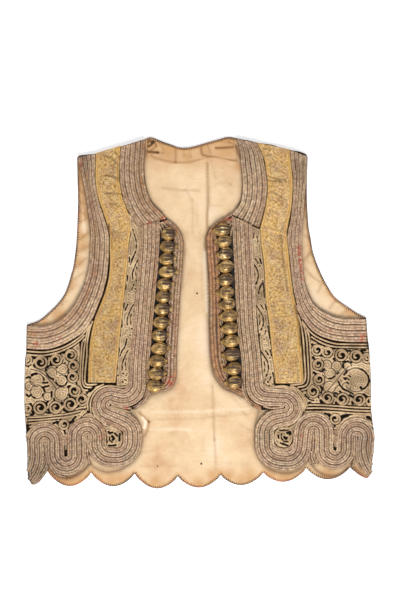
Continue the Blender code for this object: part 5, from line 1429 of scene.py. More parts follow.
# Slits in the grounds: width, then x and y of each point.
SLITS = {
    "rows_left": (
        (0.9, -224.2, -138.2, -207.3, -137.4, -181.3, -134.6, -155.3, -129.5),
        (0.9, -223.9, -142.2, -207.3, -140.9, -191.8, -139.4, -181.3, -138.1),
        (3, -185.8, -142.5, -182.1, -145.3), (2, -189.9, -143.8, -184.7, -142),
        (1.6, -165, -139.9, -160.8, -134.9), (2.8, -168.6, -143.3, -164.5, -141.2),
        (3.2, -223.5, -146.1, -220.3, -144.6), (1.6, -175.6, -153.1, -175.1, -157),
    ),
    "rows_right": (
        (3.8, 185.2, -135.7, 191.8, -133.6), (2.2, 191.8, -132.9, 198.2, -131.8),
        (2.6, 183.4, -140.1, 186, -137), (3.6, 169.1, -133.4, 171.7, -136.5),
        (1.8, 163.2, -131.3, 168.3, -132.1), (3.2, 218.5, -135.7, 222.7, -138.3),
        (1.4, 175.4, -144.8, 175.6, -148.2),
        (0.9, 138.5, -126.6, 156.7, -126.6, 182.7, -127.9, 221.7, -129.7),
        (1.5, 175.1, -173.4, 175.4, -176),
        (1.4, 161.8, -134.7, 167.8, -140.1, 171.5, -146.1, 174.1, -152.6),
    ),
    "left": (
        (3.4, -217.8, -58.8, -214.6, -58), (2.4, -218.3, -61.6, -219.1, -64.2),
        (1.8, -223.7, -66.8, -222.4, -70.2), (1.5, -218.3, -62.9, -219.6, -68.1),
        (2.8, -201.4, -57.5, -196.7, -56.7), (2.6, -198.8, -58.5, -197.7, -62.9),
        (1.6, -196.2, -69.4, -191.1, -67.9), (1.5, -193.7, -63.7, -193.6, -67.6),
        (2.5, -181.3, -52.4, -175.9, -51.5), (1.6, -173, -60.8, -168.6, -63.4),
        (1.1, -176.4, -66.3, -174.8, -65), (2, -170, -75.4, -170.2, -79.3),
        (1.3, -160.8, -62.3, -159.5, -61.8), (1.5, -160.2, -76.7, -159.2, -77.7),
        (1.7, -160.6, -90.2, -160, -91.5), (1.7, -174.1, -82, -172.9, -84.2),
        (2.3, -171.3, -96.7, -169.1, -95.2), (1.9, -169.3, -106.7, -168.3, -110.2),
        (1.7, -167.1, -111, -161.3, -111.9), (1.5, -154.4, -102.3, -153.5, -103),
        (1.3, -146.8, -104.3, -146, -105), (2.5, -159.5, -122.6, -157.7, -121.7),
        (1.4, -159.4, -118.6, -158.9, -121.4), (2.8, -176.7, -123.5, -175.9, -126.9, -171.7, -127.9),
        (1.9, -198.5, -130.1, -194.1, -130.4), (1.5, -197, -126.1, -196.4, -129.2),
        (2.8, -216.7, -128.7, -216.2, -131.6, -219.1, -133.1), (3.6, -219.8, -119.6, -218.5, -122.7),
        (1.7, -202.7, -116.5, -199, -117.4, -197.2, -115.7), (1.5, -198.8, -119.3, -198.2, -120.6),
        (2.2, -179.5, -116.5, -178.6, -118.6), (1.6, -199.9, -75.1, -199.6, -71.8, -196.4, -69.9),
        (1.1, -198.8, -79.8, -196.4, -83.7, -192.5, -86.1), (1.5, -192, -86.2, -189.9, -86.1),
        (1.5, -186.4, -71.4, -185.5, -71.6),
        (1, -186.9, -90.2, -184, -94.1, -179.4, -95.9, -174.8, -94.1, -172.2, -90),
        (2.4, -218.1, -81.4, -215.2, -79.8, -212.3, -79.4), (2, -215.9, -67.3, -214.4, -70.7),
        (1.5, -225.6, -85, -222.3, -83.5, -219.8, -84.4), (1, -203.8, -83.7, -201.8, -87.6),
        (1.4, -203.7, -91.3, -197.7, -91), (1.6, -204.5, -97.1, -200.8, -96.5, -196.4, -95),
        (1.7, -202.5, -98.3, -201.5, -102.4), (0.9, -202.9, -105.3, -204.2, -107.9),
        (1.7, -192.3, -103, -192.5, -108.9), (1.5, -189.5, -111.3, -188.8, -113.9),
        (1.7, -224.8, -106.6, -222.2, -108.9, -218.8, -106.9), (1.2, -217, -109.5, -213.8, -111),
    ),
    "right": (
        (2, 146, -41, 146.9, -41.6), (2, 160.8, -44.7, 162.4, -44.7), (2, 173.6, -46, 175.1, -46.8),
        (1.2, 173.6, -49.4, 174.1, -51.2), (2, 188.1, -49.8, 195.4, -49.5),
        (1.7, 191.4, -51.2, 191.9, -53.8), (2.3, 210.5, -49.1, 215.2, -48.9),
        (2, 212, -51.2, 212.6, -54.3), (2.2, 217, -56.4, 217.8, -64.2), (2.3, 147.3, -58, 148.8, -60.1),
        (1.8, 157.7, -56, 159, -56.4), (2, 174.6, -59.8, 176.2, -62.1), (1.6, 186.8, -64.2, 192.8, -63.4),
        (1.8, 186.6, -66.6, 186.8, -71), (1, 195.7, -63.7, 198.2, -64.7), (1.6, 159, -76.3, 162.4, -73.1),
        (1.5, 157.4, -76.2, 160.3, -76.7), (2.5, 148.6, -78.1, 150.7, -79.4),
        (1.2, 168.3, -85.8, 171.7, -85.5, 175.6, -82.7), (1.3, 178.4, -79, 180.6, -77.9),
        (2, 157.7, -96.5, 159.9, -98, 159.2, -101.4), (1.5, 147.2, -93.7, 147.7, -94.5),
        (1.6, 155, -110.1, 156.5, -107.4), (2, 158, -103.4, 158.3, -104.4),
        (2.3, 157.3, -113.9, 158.7, -117.5, 162.1, -118), (1.8, 175.1, -104.7, 178.5, -105),
        (1.8, 175.8, -107.1, 176.3, -108.9), (2, 177.1, -116.7, 178.2, -118.6),
        (1.3, 182.1, -102.4, 183.3, -102.7), (2.6, 195.9, -107.4, 198.8, -109.7),
        (2.1, 198.4, -115.7, 199.4, -119.3), (2.6, 213.1, -106.6, 218.3, -109.7),
        (3.2, 218, -118.3, 219.6, -120.1), (1.8, 142.3, -116.7, 144.2, -117.3),
        (0.8, 138.5, -108.4, 142.9, -112.8, 148.8, -114.4), (0.9, 136.4, -100.1, 139.2, -101.9),
        (1.2, 210.5, -73.5, 215.2, -76.7, 219.6, -82.4, 220.7, -88.4, 218.8, -94.6, 214.6, -98.3, 211.2,
            -98.9),
        (2.1, 209.7, -97, 211.1, -99.1),
        (1.2, 180.8, -89.7, 182.1, -93.6, 186, -98.8, 191.2, -100.9, 196.4, -104, 199.6, -105.6),
        (1.6, 188.2, -80.6, 191.6, -76.2), (1.5, 187.6, -84.9, 189.8, -86.7),
        (0.9, 190.5, -84.5, 194.3, -86.8), (0.8, 191.2, -90.2, 193.8, -92.6),
        (0.8, 194.3, -81.9, 196.2, -83.2), (1, 137.4, -106.3, 138.2, -108.9),
        (1, 140.3, -104, 141.3, -107.9),
    ),
    "medallion_left": (
        (1.9, -118.4, -155, -116.4, -157, -113.2, -155.7), (1.6, -122.6, -153.9, -122.6, -158.3),
        (1.5, -121.5, -161.7, -120.5, -168.2), (1.5, -109.9, -157, -107.2, -159.9),
        (1.5, -103.6, -157.8, -104.4, -166.4), (1.5, -117.7, -172.5, -113.8, -173.2, -109.1, -172.1),
        (2.2, -113.5, -160.9, -111.2, -163, -113, -165.6),
        (0.7, -116.9, -160.9, -117.1, -165.6, -113.8, -168.5),
    ),
    "medallion_right": (
        (2.4, 114.8, -156.3, 117.4, -155.2, 117.7, -157.8),
        (2.3, 110.4, -162, 111.7, -164.1, 113.5, -162.5),
        (1.5, 105.7, -169.5, 109.9, -171.3, 114.8, -172.6), (1.1, 109.9, -167.2, 114.8, -168),
        (1, 104.7, -152.9, 109.9, -153.1, 115, -152.6), (0.9, 102, -159.1, 103.1, -163.5),
        (0.6, 106.7, -157.8, 106.5, -163, 109.3, -166.9),
    ),
}

# Outline of each vine strip: x and y of each point.
VINE_EDGES = {
    "left": (
        -92.2, 130, -88, 126.1, -82.5, 119.6, -76.6, 112.3, -76, 105.4, -77.1, 87.9, -77.1, 65.8,
        -78.4, 42.4, -81, 16.4, -84.1, -9.6, -87, -35.6, -88.8, -61.6, -88.8, -77.2, -88.3, -90.2,
        -95.5, -94.8, -108, -95.4, -107.8, -77.2, -105.7, -57.7, -104.4, -39.5, -102.7, -22.6, -100.6, -7,
        -99.2, 8.6, -97.4, 28.1, -95.3, 47.6, -93.5, 67.1, -92.4, 86.6, -89.3, 102.2,
    ),
    "right": (
        80, 107.9, 74.2, 110.5, 70.1, 112.6, 67.2, 111.8, 67.5, 104.8, 67.9, 87.9, 68.2, 65.8, 70.1, 39.8,
        72.7, 13.8, 75.5, -12.2, 78.1, -38.2, 80.5, -61.6, 81.8, -78.5, 82.5, -90.2, 89, -95.4,
        98.4, -95.4, 97.4, -75.9, 94.5, -56.4, 92.4, -38.2, 90.1, -16.1, 87.4, 6, 85.2, 29.4, 84.1, 54.1,
        82.3, 73.6, 79.7, 91.8,
    ),
}

# Where the motif of a vine is repeated: x and y of each shift.
VINE_REPEATS = {
    "left": ((7, 59.8), (0, 0), (-6.5, -58.5)),
    "right": ((-6.8, 59.8), (0, 0), (6.5, -59.8)),
}

# Slits of the motif: width, then x and y of each point.
MOTIF_SLITS = {
    "left": (
        (1, -85.9, 10.4, -89.6, 3.9, -92.4, -3.1, -94.2, -8.3, -94, -16.1),
        (1.2, -93.2, 11.2, -96.9, 2.6), (1.3, -97.9, 12.5, -98.3, 6), (1.3, -100.4, -10.9, -101.1, -18.7),
        (0.9, -102.3, -22.6, -103.4, -30.4), (1, -88.3, -20.5, -87.9, -21.2),
        (1.4, -90.5, -28.6, -90.1, -29.2), (0.5, -88.5, -0.5, -90.1, -8.3, -89, -16.1),
    ),
    "right": (
        (1.1, 73.2, 9.9, 76.8, 4.2, 80.2, -0.5, 82.5, -5.7, 83.3, -12.2, 82.3, -17.4),
        (1.7, 81.2, -20, 80, -22.6), (1.1, 79.4, 10.4, 83.1, 4.7), (1.5, 85.2, 11.2, 87.2, 3.9),
        (1.1, 88.8, -17.4, 90.4, -26.5, 90.9, -33), (1.2, 86.2, -23.4, 84.9, -27.8),
        (1.4, 83.9, -34.3, 84.2, -35), (1.1, 84.9, 1.3, 85.3, 0.7), (0.7, 79.2, -26.5, 76.8, -31.7),
        (0.5, 77.4, -3.1, 78.7, -10.9, 77.4, -17.4),
    ),
}

# Slits that don't repeat: width, then x and y of each point.
SINGLE_SLITS = {
    "left": (
        (1.4, -82.8, 80.1, -85.7, 73.6, -88.3, 68.4),
        (1.4, -94.6, -33.8, -95.5, -39.5, -97.1, -44.7, -100.8, -49.9), (1, -99.6, -78.5, -99.2, -79.2),
        (1.6, -106.2, -81.4, -105.8, -82), (1, -95.8, -81.1, -95.4, -81.8),
        (1.4, -95.5, -87.6, -95.2, -88.3), (1.6, -100.2, -89.7, -99.8, -90.4),
        (0.6, -87, 108.7, -83.9, 99.6, -81.8, 90.5, -82.5, 81.4), (1, -82.3, 42.4, -81.9, 41.7),
        (0.6, -85.2, 37.2, -88.3, 29.4), (1.6, -104.7, -44.2, -104.9, -49.3),
    ),
    "right": (
        (1.2, 95, -78.5, 95.4, -79.2), (1.8, 89, -89.7, 89.4, -90.4), (1.6, 95, -92.8, 97.6, -93.1),
        (0.7, 70.9, 103.5, 70.1, 97), (0.7, 74.8, 99.6, 76, 91.8), (0.9, 83.1, 34.6, 84.4, 19),
        (1.3, 92.4, -36.9, 94.8, -53.8), (1.1, 81.5, 38.5, 78.4, 32, 76.6, 25.5),
        (1.5, 75.5, 42.4, 74.2, 38.5),
    ),
}

FILL_PITCH = 2.8
FILL_SPACING = 0.66
# Heights over the wool: the underside, the open slits, the valleys between rows, and the top of the rows.
FILL_UNDER, FILL_SLIT, FILL_VALLEY, FILL_TOP = 0.15, 0.25, 0.55, 1.45
SLIT_MORE = 0.55
# Slits are uneven: how much wider and narrower they get along their length.
RAGGED = 0.3
SEAM = 0.8
# Slits of the vine strips are narrower than the table says: a part of the width, and less by so much.
VINE_PART, VINE_LESS = 0.65, 0.3

# Fine silver-wrapped cord laid close: a greyer, more even taupe than the heavy cords, dark in the slits,
# with painted shade in the valleys between its rows.
ground, tree, shader = finish("laid_fine_silver_cord", Roughness=0.55)
place_on = add(tree, "TexCoord").outputs["Object"]
row = add(tree, "Attribute", attribute_name="row").outputs["Fac"]
grain = add(tree, "TexNoise", {"Vector": place_on, "Scale": 520.0, "Detail": 2.0})
cast = add(tree, "TexNoise", {"Vector": place_on, "Scale": 60.0, "Detail": 3.0})
cord = ramp(tree, cast, (0.3, "#9C8260"), (0.5, "#BEA07A"), (0.7, "#D8BC94"))
spread = {"Value": grain, "From Min": 0.3, "From Max": 0.7, "To Min": 0.78, "To Max": 1.15}
speck = add(tree, "MapRange", spread)
lit = add(tree, "VectorMath", {0: cord, "Scale": speck}, operation="SCALE")
# Painted shade in the valleys between the rows.
deep = add(tree, "MapRange", {"Value": row, "From Min": 0.05, "From Max": 0.75})
shown = add(tree, "Mix", {0: deep, 6: linear("#4C3A28"), 7: lit}, data_type="RGBA")
open_to = add(tree, "MapRange", {"Value": row, "From Min": 0.0, "From Max": -0.5})
slit = add(tree, "Mix", {0: open_to, 6: shown, 7: linear("#140C06")}, data_type="RGBA")
shine = add(tree, "MapRange", {"Value": open_to, "To Min": 0.5, "To Max": 0.05})
bright = add(tree, "MapRange", {"Value": open_to, "To Min": 0.25, "To Max": 0.0})
join(tree, shader, {"Base Color": slit, "Specular IOR Level": shine, "Metallic": bright})


def couched(name, edge_line, slits, seams):
    """Laid cord filling an outline in rows that follow its slits and seams; slits are open to the wool."""

    def rows(spots):
        nearest = distances(edge_line, spots, True)[0]
        for line in seams:
            nearest = np.minimum(nearest, np.clip(distances(line, spots)[0] - SEAM / 2, 0, None))
        ragged = RAGGED * np.sin(0.9 * spots[:, 0]) * np.sin(0.7 * spots[:, 1] + 1)
        for width, line in slits:
            apart = distances(np.array(line, float), spots)[0] - (width + SLIT_MORE) / 2
            nearest = np.minimum(nearest, apart + ragged)
        row = np.abs(np.sin(math.pi * np.clip(nearest, 0, None) / FILL_PITCH)) ** 0.7
        return np.where(nearest < 0, -1.0, row), nearest

    def over(spots):
        row, nearest = rows(spots)
        filled = FILL_VALLEY + (FILL_TOP - FILL_VALLEY) * row
        return on_front(spots) + np.where(nearest < 0, FILL_SLIT, filled)

    mesh = cut_cloth(name, edge_line, FILL_SPACING, lambda spots: on_front(spots) + FILL_UNDER, over)
    mark(mesh, "row", rows(spots_of(mesh)[:, :2] / MM)[0])
    return place(name, mesh, ground, "cord")


def ring(x, y, radius, start, end):
    """Part of a circle as a line of points; angles in degrees."""
    turn = np.radians(np.arange(start, end + 1, 15.0))
    return np.column_stack([x + radius * np.cos(turn), y + radius * np.sin(turn)])


# x, y, radius, angle where the curl starts, turn (-1 clockwise), length of the tail
SCROLLS = (
    (-224.5, -61.6, 6, 140, -1, 0), (-206.1, -64.6, 7.2, 150, -1, 9.1), (-185.9, -61, 6.6, 150, -1, 7.8),
    (-167.3, -55.1, 6.5, 160, -1, 9.1), (-163.8, -69.4, 5.9, 80, -1, 6.5),
    (-164.5, -84, 5.9, 80, -1, 6.5), (-162.1, -101.7, 6.5, 80, -1, 6.5),
    (-152.8, -113.6, 6.5, 60, -1, 5.2), (-168.3, -119.5, 7.2, -30, -1, 9.1),
    (-187.2, -123.4, 6.9, -30, -1, 7.8), (-207.7, -123.8, 7.2, -30, -1, 7.8),
    (-223.7, -124.8, 4.4, -30, -1, 0), (-176.4, -145.6, 5.6, 80, 1, 3.9), (152.8, -48.6, 6.1, 60, 1, 6.5),
    (166, -51.2, 5.9, 30, 1, 6.5), (184.2, -55.1, 6.8, 30, 1, 7.8), (203.5, -56.7, 7, 30, 1, 7.8),
    (218.3, -59, 5.7, 30, 1, 5.2), (154.1, -67.5, 5.9, 100, 1, 6.5), (155.3, -87.1, 6, 100, 1, 6.5),
    (147.6, -103, 6.5, 120, 1, 5.2), (167.1, -111, 6.4, 210, 1, 7.8), (186.2, -112.6, 6.8, 210, 1, 7.8),
    (207.9, -113.4, 6.6, 210, 1, 7.8), (221.7, -115.7, 4.9, 210, 1, 0),
    (176.7, -138.3, 5.9, 100, -1, 3.9),
)

SCROLL_BED = 1.7
for side, edge_line in GROUND_EDGES.items():
    drawn = [ring(x, y, radius, start, start + 300) for x, y, radius, start in PETALS.get(side, ())]
    drawn += [line_of(line) for line in SEAMS.get(side, ())]
    cut = [(width, line_of(line)) for width, *line in SLITS.get(side, ())]
    cut += [(2 * (radius + SCROLL_BED), [(x, y), (x, y + 0.1)]) for x, y, radius, *_ in SCROLLS]
    couched("flower_ground_" + side, line_of(edge_line), cut, drawn)
for side, edge_line in VINE_EDGES.items():
    repeats, slits = VINE_REPEATS[side], MOTIF_SLITS[side]
    cut = [(width, line_of(line) + shift) for shift in repeats for width, *line in slits]
    cut += [(width, line_of(line)) for width, *line in SINGLE_SLITS[side]]
    thin = [(VINE_PART * width - VINE_LESS, line) for width, line in cut]
    couched("vine_ground_" + side, line_of(edge_line), thin, [])

# --- Scroll cords ------------------------------------------------------------------------------------------
# Over the black wool, pairs of fine cord border the panels and curl into a row of scrolls round each
# flower ground, with a scroll in each gap of the looped bands.

# Centre lines of the single cords that border the panels: x and y of each point.
PAIRS = (
    (-225, -50.2, -206.1, -51.4, -194.3, -50.2, -181.3, -46.8, -169, -41.1, -155.3, -31.5,
        -147.6, -22.9, -141.6, -14.8),
    (-225, -54.3, -206.1, -55.8, -186.6, -52.3, -168.3, -44.5, -155.3, -35.5, -149.4, -29.1),
    (-139, -10.9, -142.3, -20, -144.4, -29.1, -146.2, -41.3, -146.5, -55.1, -148.1, -71.4,
        -149.2, -86.1, -148.1, -91.8, -144.2, -93.7, -133.2, -93.1),
    (-143.1, -17.4, -146.2, -26.5, -147.8, -33, -149.4, -42.9, -150.7, -55.1, -151.7, -68.1,
        -152.5, -82.4, -151.7, -91, -148.6, -96.3, -139.8, -97.2),
    (-149.1, -33.8, -151.6, -37.7, -153, -43.4, -154.2, -61.6, -155.2, -78.5, -155.1, -91.5,
        -151.5, -99.6, -145, -101.1),
    (-135.8, -98, -130.7, -95.7, -124.2, -93.1),
    (-223.7, -136.2, -207.3, -135.6, -194.3, -134.3, -181.3, -132.9, -168.3, -131, -152.8, -127.1),
    (-223.5, -140.1, -207.3, -139.2, -194.3, -137.9, -181.3, -136.5, -168.3, -134.9, -156.7, -131.8),
    (-223.2, -144.3, -207.3, -142.5, -191.8, -140.9),
    (-141.1, -130.5, -141.8, -117.5, -137.7, -106.5, -130.1, -98.9, -120.2, -95.4, -111.2, -95.7,
        -103.4, -96.7, -95.5, -96.2, -90.4, -92.8),
    (-145, -127.4, -145.5, -116.2, -141.1, -105.6, -133.8, -98, -128.1, -95.4),
    (217.8, -41.3, 195.7, -41.1, 180.1, -40.7, 169.7, -38.7, 159.2, -34.8, 148.8, -29.1, 141.1, -21.8,
        133.2, -10.9),
    (218, -45.2, 195.7, -45, 177.5, -44.5, 164.5, -41.6, 154.1, -36.9, 145, -31.2),
    (127.8, -2.6, 130.9, -10.9, 133.2, -22.6, 134.9, -35.6, 136, -51.2, 137, -66.8, 137.7, -79.8,
        137, -87.6, 133.8, -91.8, 128.6, -93.2, 117.7, -94.1),
    (134, -13.5, 136.4, -20, 137.9, -26.5, 139.4, -36.9, 140.3, -51.2, 141.2, -66.8, 141.8, -81.1,
        140.5, -91, 136.1, -95.4, 126.8, -97),
    (139, -22.1, 141.6, -27.8, 143.1, -36.9, 144.2, -51.2, 145, -66.8, 145.5, -82.4, 144.2, -92.3,
        139.2, -98.5, 132, -100.9),
    (115, -96.7, 122.9, -99.3, 128.1, -102.7),
    (140.5, -119.9, 156.7, -120.1, 182.7, -121.7, 202.2, -123.2, 222.2, -124),
    (137.9, -124.3, 156.7, -124, 182.7, -125.7, 202.2, -127.3, 223, -127.9),
    (159.2, -128.4, 182.7, -129.5, 203.5, -131.2, 223, -131.3),
    (136.1, -129.2, 135.1, -118.8, 128.6, -106.9, 121.5, -99.8, 112.5, -95.9, 104.7, -95.4, 95.5, -96.7,
        87.8, -96.7, 83.9, -92.8),
    (139.8, -122.7, 138.5, -115.4, 132.7, -104.5, 127.5, -99.8),
    (-221.7, -148.7, -210, -146.1, -197, -147, -185.2, -153.9, -178.8, -163.7),
    (-172.9, -161.7, -167.1, -150, -156.7, -142.2, -145, -140.4),
    (224.2, -142.7, 211.2, -139.4, 195.7, -141.4, 184.6, -150, 180.1, -160.4),
    (173.6, -160.4, 167.1, -147.4, 156.7, -138.8, 146.2, -136.5),
    (98.2, -96.7, 111.2, -97.8, 118.4, -100.6, 124.2, -105),
    (128.6, -102.7, 132.7, -107.9, 135.8, -114.4, 137.5, -121.4, 137.4, -125.3),
    (131.2, -112.8, 133.8, -119.6, 134, -126.6, 131.4, -133.6, 126.8, -139.6, 119.7, -144.8,
        111.2, -147.9),
    (117.7, -95.7, 124.2, -97.5, 128.8, -100.4),
    (112.5, -149.2, 118.2, -151.3, 121, -155.7, 121.5, -161.7),
    (-139.2, -122.7, -138.2, -129.2, -134.6, -135.7, -128.1, -141.4, -120.2, -145.3),
    (-146.8, -126.4, -150.2, -130, -153.5, -134.9),
    (-115.8, -121.4, -106, -124.8, -96.9, -127.4, -89, -130),
)

# Short heavy cords that fill the middles of the turns and the corners by the mitres: x and y of each
# point.
FILLERS = (
    (-146, -163.8, -145.9, -173.4, -145.6, -182.5, -145.2, -186.4),
    (-201.1, -169.5, -200.5, -178.6, -199.6, -189), (-173.8, -178.6, -173.7, -165.6, -173.6, -157.8),
    (-198.8, -189, -199, -196.8, -202.4, -204.6, -208.9, -213.2, -215.4, -220.2),
    (-200.8, -186.4, -201.6, -195.5, -205.5, -203.8, -211.8, -212.2, -217.5, -218.9),
    (-198, -198.1, -199.8, -205.4, -205.8, -213.5, -212.6, -220, -216.2, -222.6),
    (-115, -119.6, -106, -121.9, -96.9, -124, -87.8, -124.5),
    (148.5, -157.8, 147.9, -168.2, 147.4, -177.3, 147, -185.1),
    (176.2, -174.7, 176.2, -163, 176.4, -152.6),
    (204.4, -163.8, 204.1, -176, 204.8, -187.7, 206.6, -195.5), (202.4, -181.2, 201.9, -189, 199, -196.8),
    (206.8, -186.4, 210.7, -196.8, 216.5, -208), (109.9, -122.5, 100.8, -123.8, 91.7, -124, 82.5, -121.4),
    (126.5, 9.9, 129.6, 1.3, 133.8, -7), (131.4, -2.6, 135.1, -9.6),
    (-98.9, 150.3, -93.7, 137.8, -88.3, 127.7, -81.5, 118.3), (145.5, -179.9, 146.2, -189, 149.9, -196.8),
    (142.9, -185.1, 143.4, -191.6, 145, -197.3), (151.7, -190.3, 154.1, -196.3),
    (-144.4, -185.1, -144.2, -191.6, -142.6, -197.3), (201.6, -189, 200.8, -195.5, 198, -200.7),
    (204.8, -191.6, 207.1, -198.1, 210.5, -203.3), (-173.8, -160.4, -173.7, -168.2, -173.8, -175.2),
    (-201.9, -163.7, -201.6, -173.4), (-147, -158.3, -146.8, -170.8), (148.1, -152.6, 148.3, -165.6),
    (204.2, -158.3, 204.5, -170.8),
    (224.2, -168.2, 223.7, -178.6, 222.8, -189, 221.8, -199.4, 220.1, -209),
    (-196.2, -196, -193.1, -202.5, -187.8, -208.3, -181.1, -212.2, -172.8, -213.7),
    (-50.6, 117.3, -46.7, 110, -44.3, 101.4), (-51.6, 113.1, -49, 105.3, -48, 97),
    (42, 123.2, 36.3, 117, 32.6, 109.2), (43, 118.3, 38.4, 111.3, 36, 103.5),
    (43, 111.8, 41, 104.8, 40.2, 95.7),
    (123, -157.7, 123.9, -163.9, 122.1, -169.9, 117.9, -174.6, 112.2, -177.2, 106, -177.2,
        100.2, -174.6, 96.1, -169.9, 94.2, -163.9, 95.2, -157.7),
    (124.8, -168.5, 122.7, -172.5, 119.6, -175.8, 115.7, -178.1, 111.3, -179.4, 106.9, -179.4,
        102.4, -178.1, 98.5, -175.8, 95.4, -172.5, 93.3, -168.5),
    (174.1, -157.8, 174.2, -170.3), (178.2, -160.4, 178.2, -176), (-176.3, -161.7, -176.2, -173.4),
    (34.5, 122.2, 38.4, 125.3, 43, 127.7), (37.3, 115.7, 39.6, 118.8, 41.7, 122.5),
    (-222.7, -181.2, -222.2, -189, -221.4, -198.1, -220.3, -207.2, -219.3, -215),
    (-96.3, -160.7, -96.2, -165.6, -97.6, -170.4, -100.4, -174.6, -104.3, -177.7),
    (-126.8, -143.5, -122.3, -146.1, -117.7, -146.6),
)

FILLER_RADIUS, FILLER_LIFT = 1.55, 1.1

FINE_RADIUS = 0.66
SINGLE_RADIUS = 1.2
FINE_SIDES = 6
# A single border cord is thicker than a fine one, so it lies higher by so much.
FINE_LIFT, SINGLE_MORE = 0.95, 0.3
PAIR_APART = 0.62

# A scroll's radius, as part of its full radius, at degrees round from its start.
CURL = ((0, 1.0), (320, 1.0), (370, 0.84), (420, 0.6), (470, 0.42), (560, 0.33), (620, 0.16))
CURL_STEP, TAIL_STEP = 14.0, 1.5


def beside(line, offset):
    """A line shifted sideways."""
    run = np.gradient(line, axis=0)
    run /= np.hypot(*run.T)[:, None]
    return line + offset * np.column_stack([-run[:, 1], run[:, 0]])


def scroll(x, y, radius, start, turn, tail):
    """A scroll: a tail runs in along its outside, then round and in to an open eye."""
    swing = np.arange(0, CURL[-1][0] + 1, CURL_STEP)
    angle = np.radians(start) + turn * np.radians(swing)
    reach = radius * np.interp(swing, *zip(*CURL))
    curl = np.column_stack([x + reach * np.cos(angle), y + reach * np.sin(angle)])
    away = np.array([math.sin(angle[0]), -math.cos(angle[0])]) * turn
    out = np.array([math.cos(angle[0]), math.sin(angle[0])])
    run_in = [curl[0] + away * d + out * 0.12 * d**1.3 for d in np.arange(tail, 0.5, -TAIL_STEP)]
    return np.vstack([run_in, curl]) if run_in else curl


lines = [(smooth(line_of(line), 5), SINGLE_RADIUS) for line in PAIRS]
for x, y, radius, start, turn, tail in SCROLLS:
    curl = scroll(x, y, radius, start, turn, tail)
    lines += [(beside(curl, side * PAIR_APART), FINE_RADIUS) for side in (-1, 1)]
laid, radii = [], []
for line, radius in lines:
    line = line[distances(outline, line, True)[1]]
    if len(line) > 3:
        height = on_front(line) + FINE_LIFT + SINGLE_MORE * (radius > FINE_RADIUS)
        height += uneven(len(line), 0.08, 3.0)
        laid.append(np.column_stack([line, height]))
        radii.append(radius)
tints = [np.full(len(line), random.uniform(0.3, 0.9)) for line in laid]
mesh = swept("scroll_cords", laid, radii, FINE_SIDES, tints)
place("scroll_cords", mesh, ground, "cord")
mark(mesh, "row", [1.0] * len(mesh.vertices))

lines = [smooth(line_of(line), 5) for line in FILLERS]
laid = [np.column_stack([line, on_front(line) + FILLER_LIFT]) for line in lines]
tints = [np.full(len(line), random.uniform(0.2, 0.6)) for line in laid]
mesh = swept("filling_cords", laid, [FILLER_RADIUS] * len(laid), CORD_SIDES, tints)
place("filling_cords", mesh, silver, "cord")

# --- Whipped edges -----------------------------------------------------------------------------------------
# Red-brown silk thread whips the lining to the wool all round, and lines the outside of the right armhole
# band.

STITCH_APART = 3.0
STITCH_IN, STITCH_SLANT = 2.0, 0.8
# A stitch comes out of the lining, goes over the edge and down outside it: how far in and out, and how
# high.
STITCH_OVER, STITCH_OUT = 0.6, 0.35
STITCH_HEIGHTS = (3.4, 3.6, 3.0, 0.9)
THREAD_RADIUS, RIM_RADIUS, RIM_HEIGHT = 0.5, 0.8, 2.7

# Twisted silk thread, faded unevenly from red to brown.
thread, tree, shader = finish("faded_red_silk_thread", Roughness=0.6, Sheen_Weight=0.2)
place_on = add(tree, "TexCoord").outputs["Object"]
fade = add(tree, "TexNoise", {"Vector": place_on, "Scale": 30.0, "Detail": 4.0})
faded = ramp(tree, fade, (0.4, "#301C14"), (0.54, "#552C1C"), (0.68, "#A35634"))
join(tree, shader, {"Base Color": faded})

stitches = []
run = np.roll(outline, -1, axis=0) - outline
length = np.concatenate([[0], np.cumsum(np.hypot(*run.T))])
for at in np.arange(0, length[-1], STITCH_APART):
    i = np.searchsorted(length, at, side="right") - 1
    ahead = run[i % len(run)] / np.hypot(*run[i % len(run)])
    spot = outline[i % len(run)] + ahead * (at - length[i])
    inward = np.array([ahead[1], -ahead[0]])
    start = spot + inward * STITCH_IN * random.uniform(0.7, 1.3) + ahead * STITCH_SLANT
    over, outside = spot + inward * STITCH_OVER, spot - inward * STITCH_OUT
    stitches.append(np.column_stack([[start, over, outside, outside], STITCH_HEIGHTS]))
closed = np.vstack([outline, outline[:2]])
stitches.append(np.column_stack([closed, np.full(len(closed), RIM_HEIGHT)]))
radii = [THREAD_RADIUS] * (len(stitches) - 1) + [RIM_RADIUS]
mesh = swept("whipping", stitches, radii, 5, [0.5] * len(stitches))
place("edge_whipping", mesh, thread, "cotton")

# --- Surroundings ------------------------------------------------------------------------------------------
# A plain white table, a little lit from below, a broad soft light over the hem end and a weaker one over
# the neck, and the camera straight above. The wool's nap keeps its flat underside just clear of the
# table.
TABLE_BELOW = 0.4

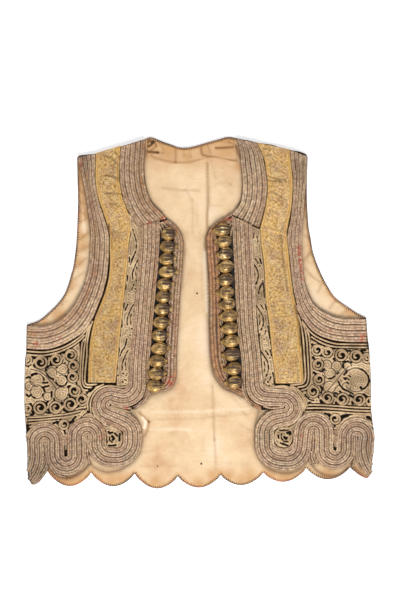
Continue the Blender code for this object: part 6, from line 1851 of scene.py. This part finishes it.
bm = bmesh.new()
bmesh.ops.create_grid(bm, x_segments=1, y_segments=1, size=4.0)
bmesh.ops.translate(bm, vec=(0, 0, -TABLE_BELOW * MM), verts=bm.verts[:])
mesh = bpy.data.meshes.new("table")
bm.to_mesh(mesh)
bm.free()
table = bpy.data.objects.new("table", mesh)
bpy.context.scene.collection.objects.link(table)
white = linear("#FFFFFF")
looks = {"Base_Color": white, "Emission_Color": white, "Emission_Strength": 0.3}
paper, tree, shader = finish("white_table", Roughness=0.9, **looks)
mesh.materials.append(paper)
# From underneath, the table is clear, so that the wool of the back can be seen.
underneath = add(tree, "NewGeometry").outputs["Backfacing"]
one_sided = add(tree, "MixShader", {0: underneath, 1: shader, 2: add(tree, "BsdfTransparent")})
join(tree, tree.nodes["Material Output"], {"Surface": one_sided})

# The room is bright round the table and dim overhead, where the camera hangs.
world = bpy.data.worlds.new("studio")
world.use_nodes = True
tree = world.node_tree
toward = add(tree, "TexCoord").outputs["Generated"]
height = add(tree, "SeparateXYZ", {"Vector": toward}).outputs["Z"]
dimming = {"Value": height, "From Min": 0.35, "From Max": 0.95, "To Min": 0.75, "To Max": 0.12}
room = add(tree, "MapRange", dimming)
join(tree, tree.nodes["Background"], {"Strength": room, "Color": (1.0, 1.0, 1.0, 1.0)})
bpy.context.scene.world = world


def soft_light(name, x, y, z, size, power):
    """A square light turned towards the middle of the table; metres and watts."""
    lamp = bpy.data.lights.new(name, "AREA")
    lamp.size = size
    lamp.energy = power
    light = bpy.data.objects.new(name, lamp)
    light.location = (x, y, z)
    light.rotation_euler = (-light.location).to_track_quat("-Z", "Y").to_euler()
    bpy.context.scene.collection.objects.link(light)


soft_light("key", 0.3, -1.7, 2.2, 1.2, 72.0)
soft_light("fill", -0.6, 1.9, 2.0, 1.6, 26.0)
bpy.context.scene.view_settings.view_transform = "Standard"

# The camera looks straight down from over the middle of the view; metres, above the middle of the
# waistcoat.
CAMERA_HEIGHT = 3.2
VIEW_HEIGHT = 0.7787
VIEW_MIDDLE = (0.00065, 0.01703)
CLOTH_HEIGHT = 0.008
lens = bpy.data.cameras.new("camera")
lens.sensor_width = 36.0
lens.lens = lens.sensor_width * CAMERA_HEIGHT / VIEW_HEIGHT
camera = bpy.data.objects.new("camera", lens)
camera.location = (*VIEW_MIDDLE, CAMERA_HEIGHT + CLOTH_HEIGHT)
bpy.context.scene.collection.objects.link(camera)
bpy.context.scene.camera = camera
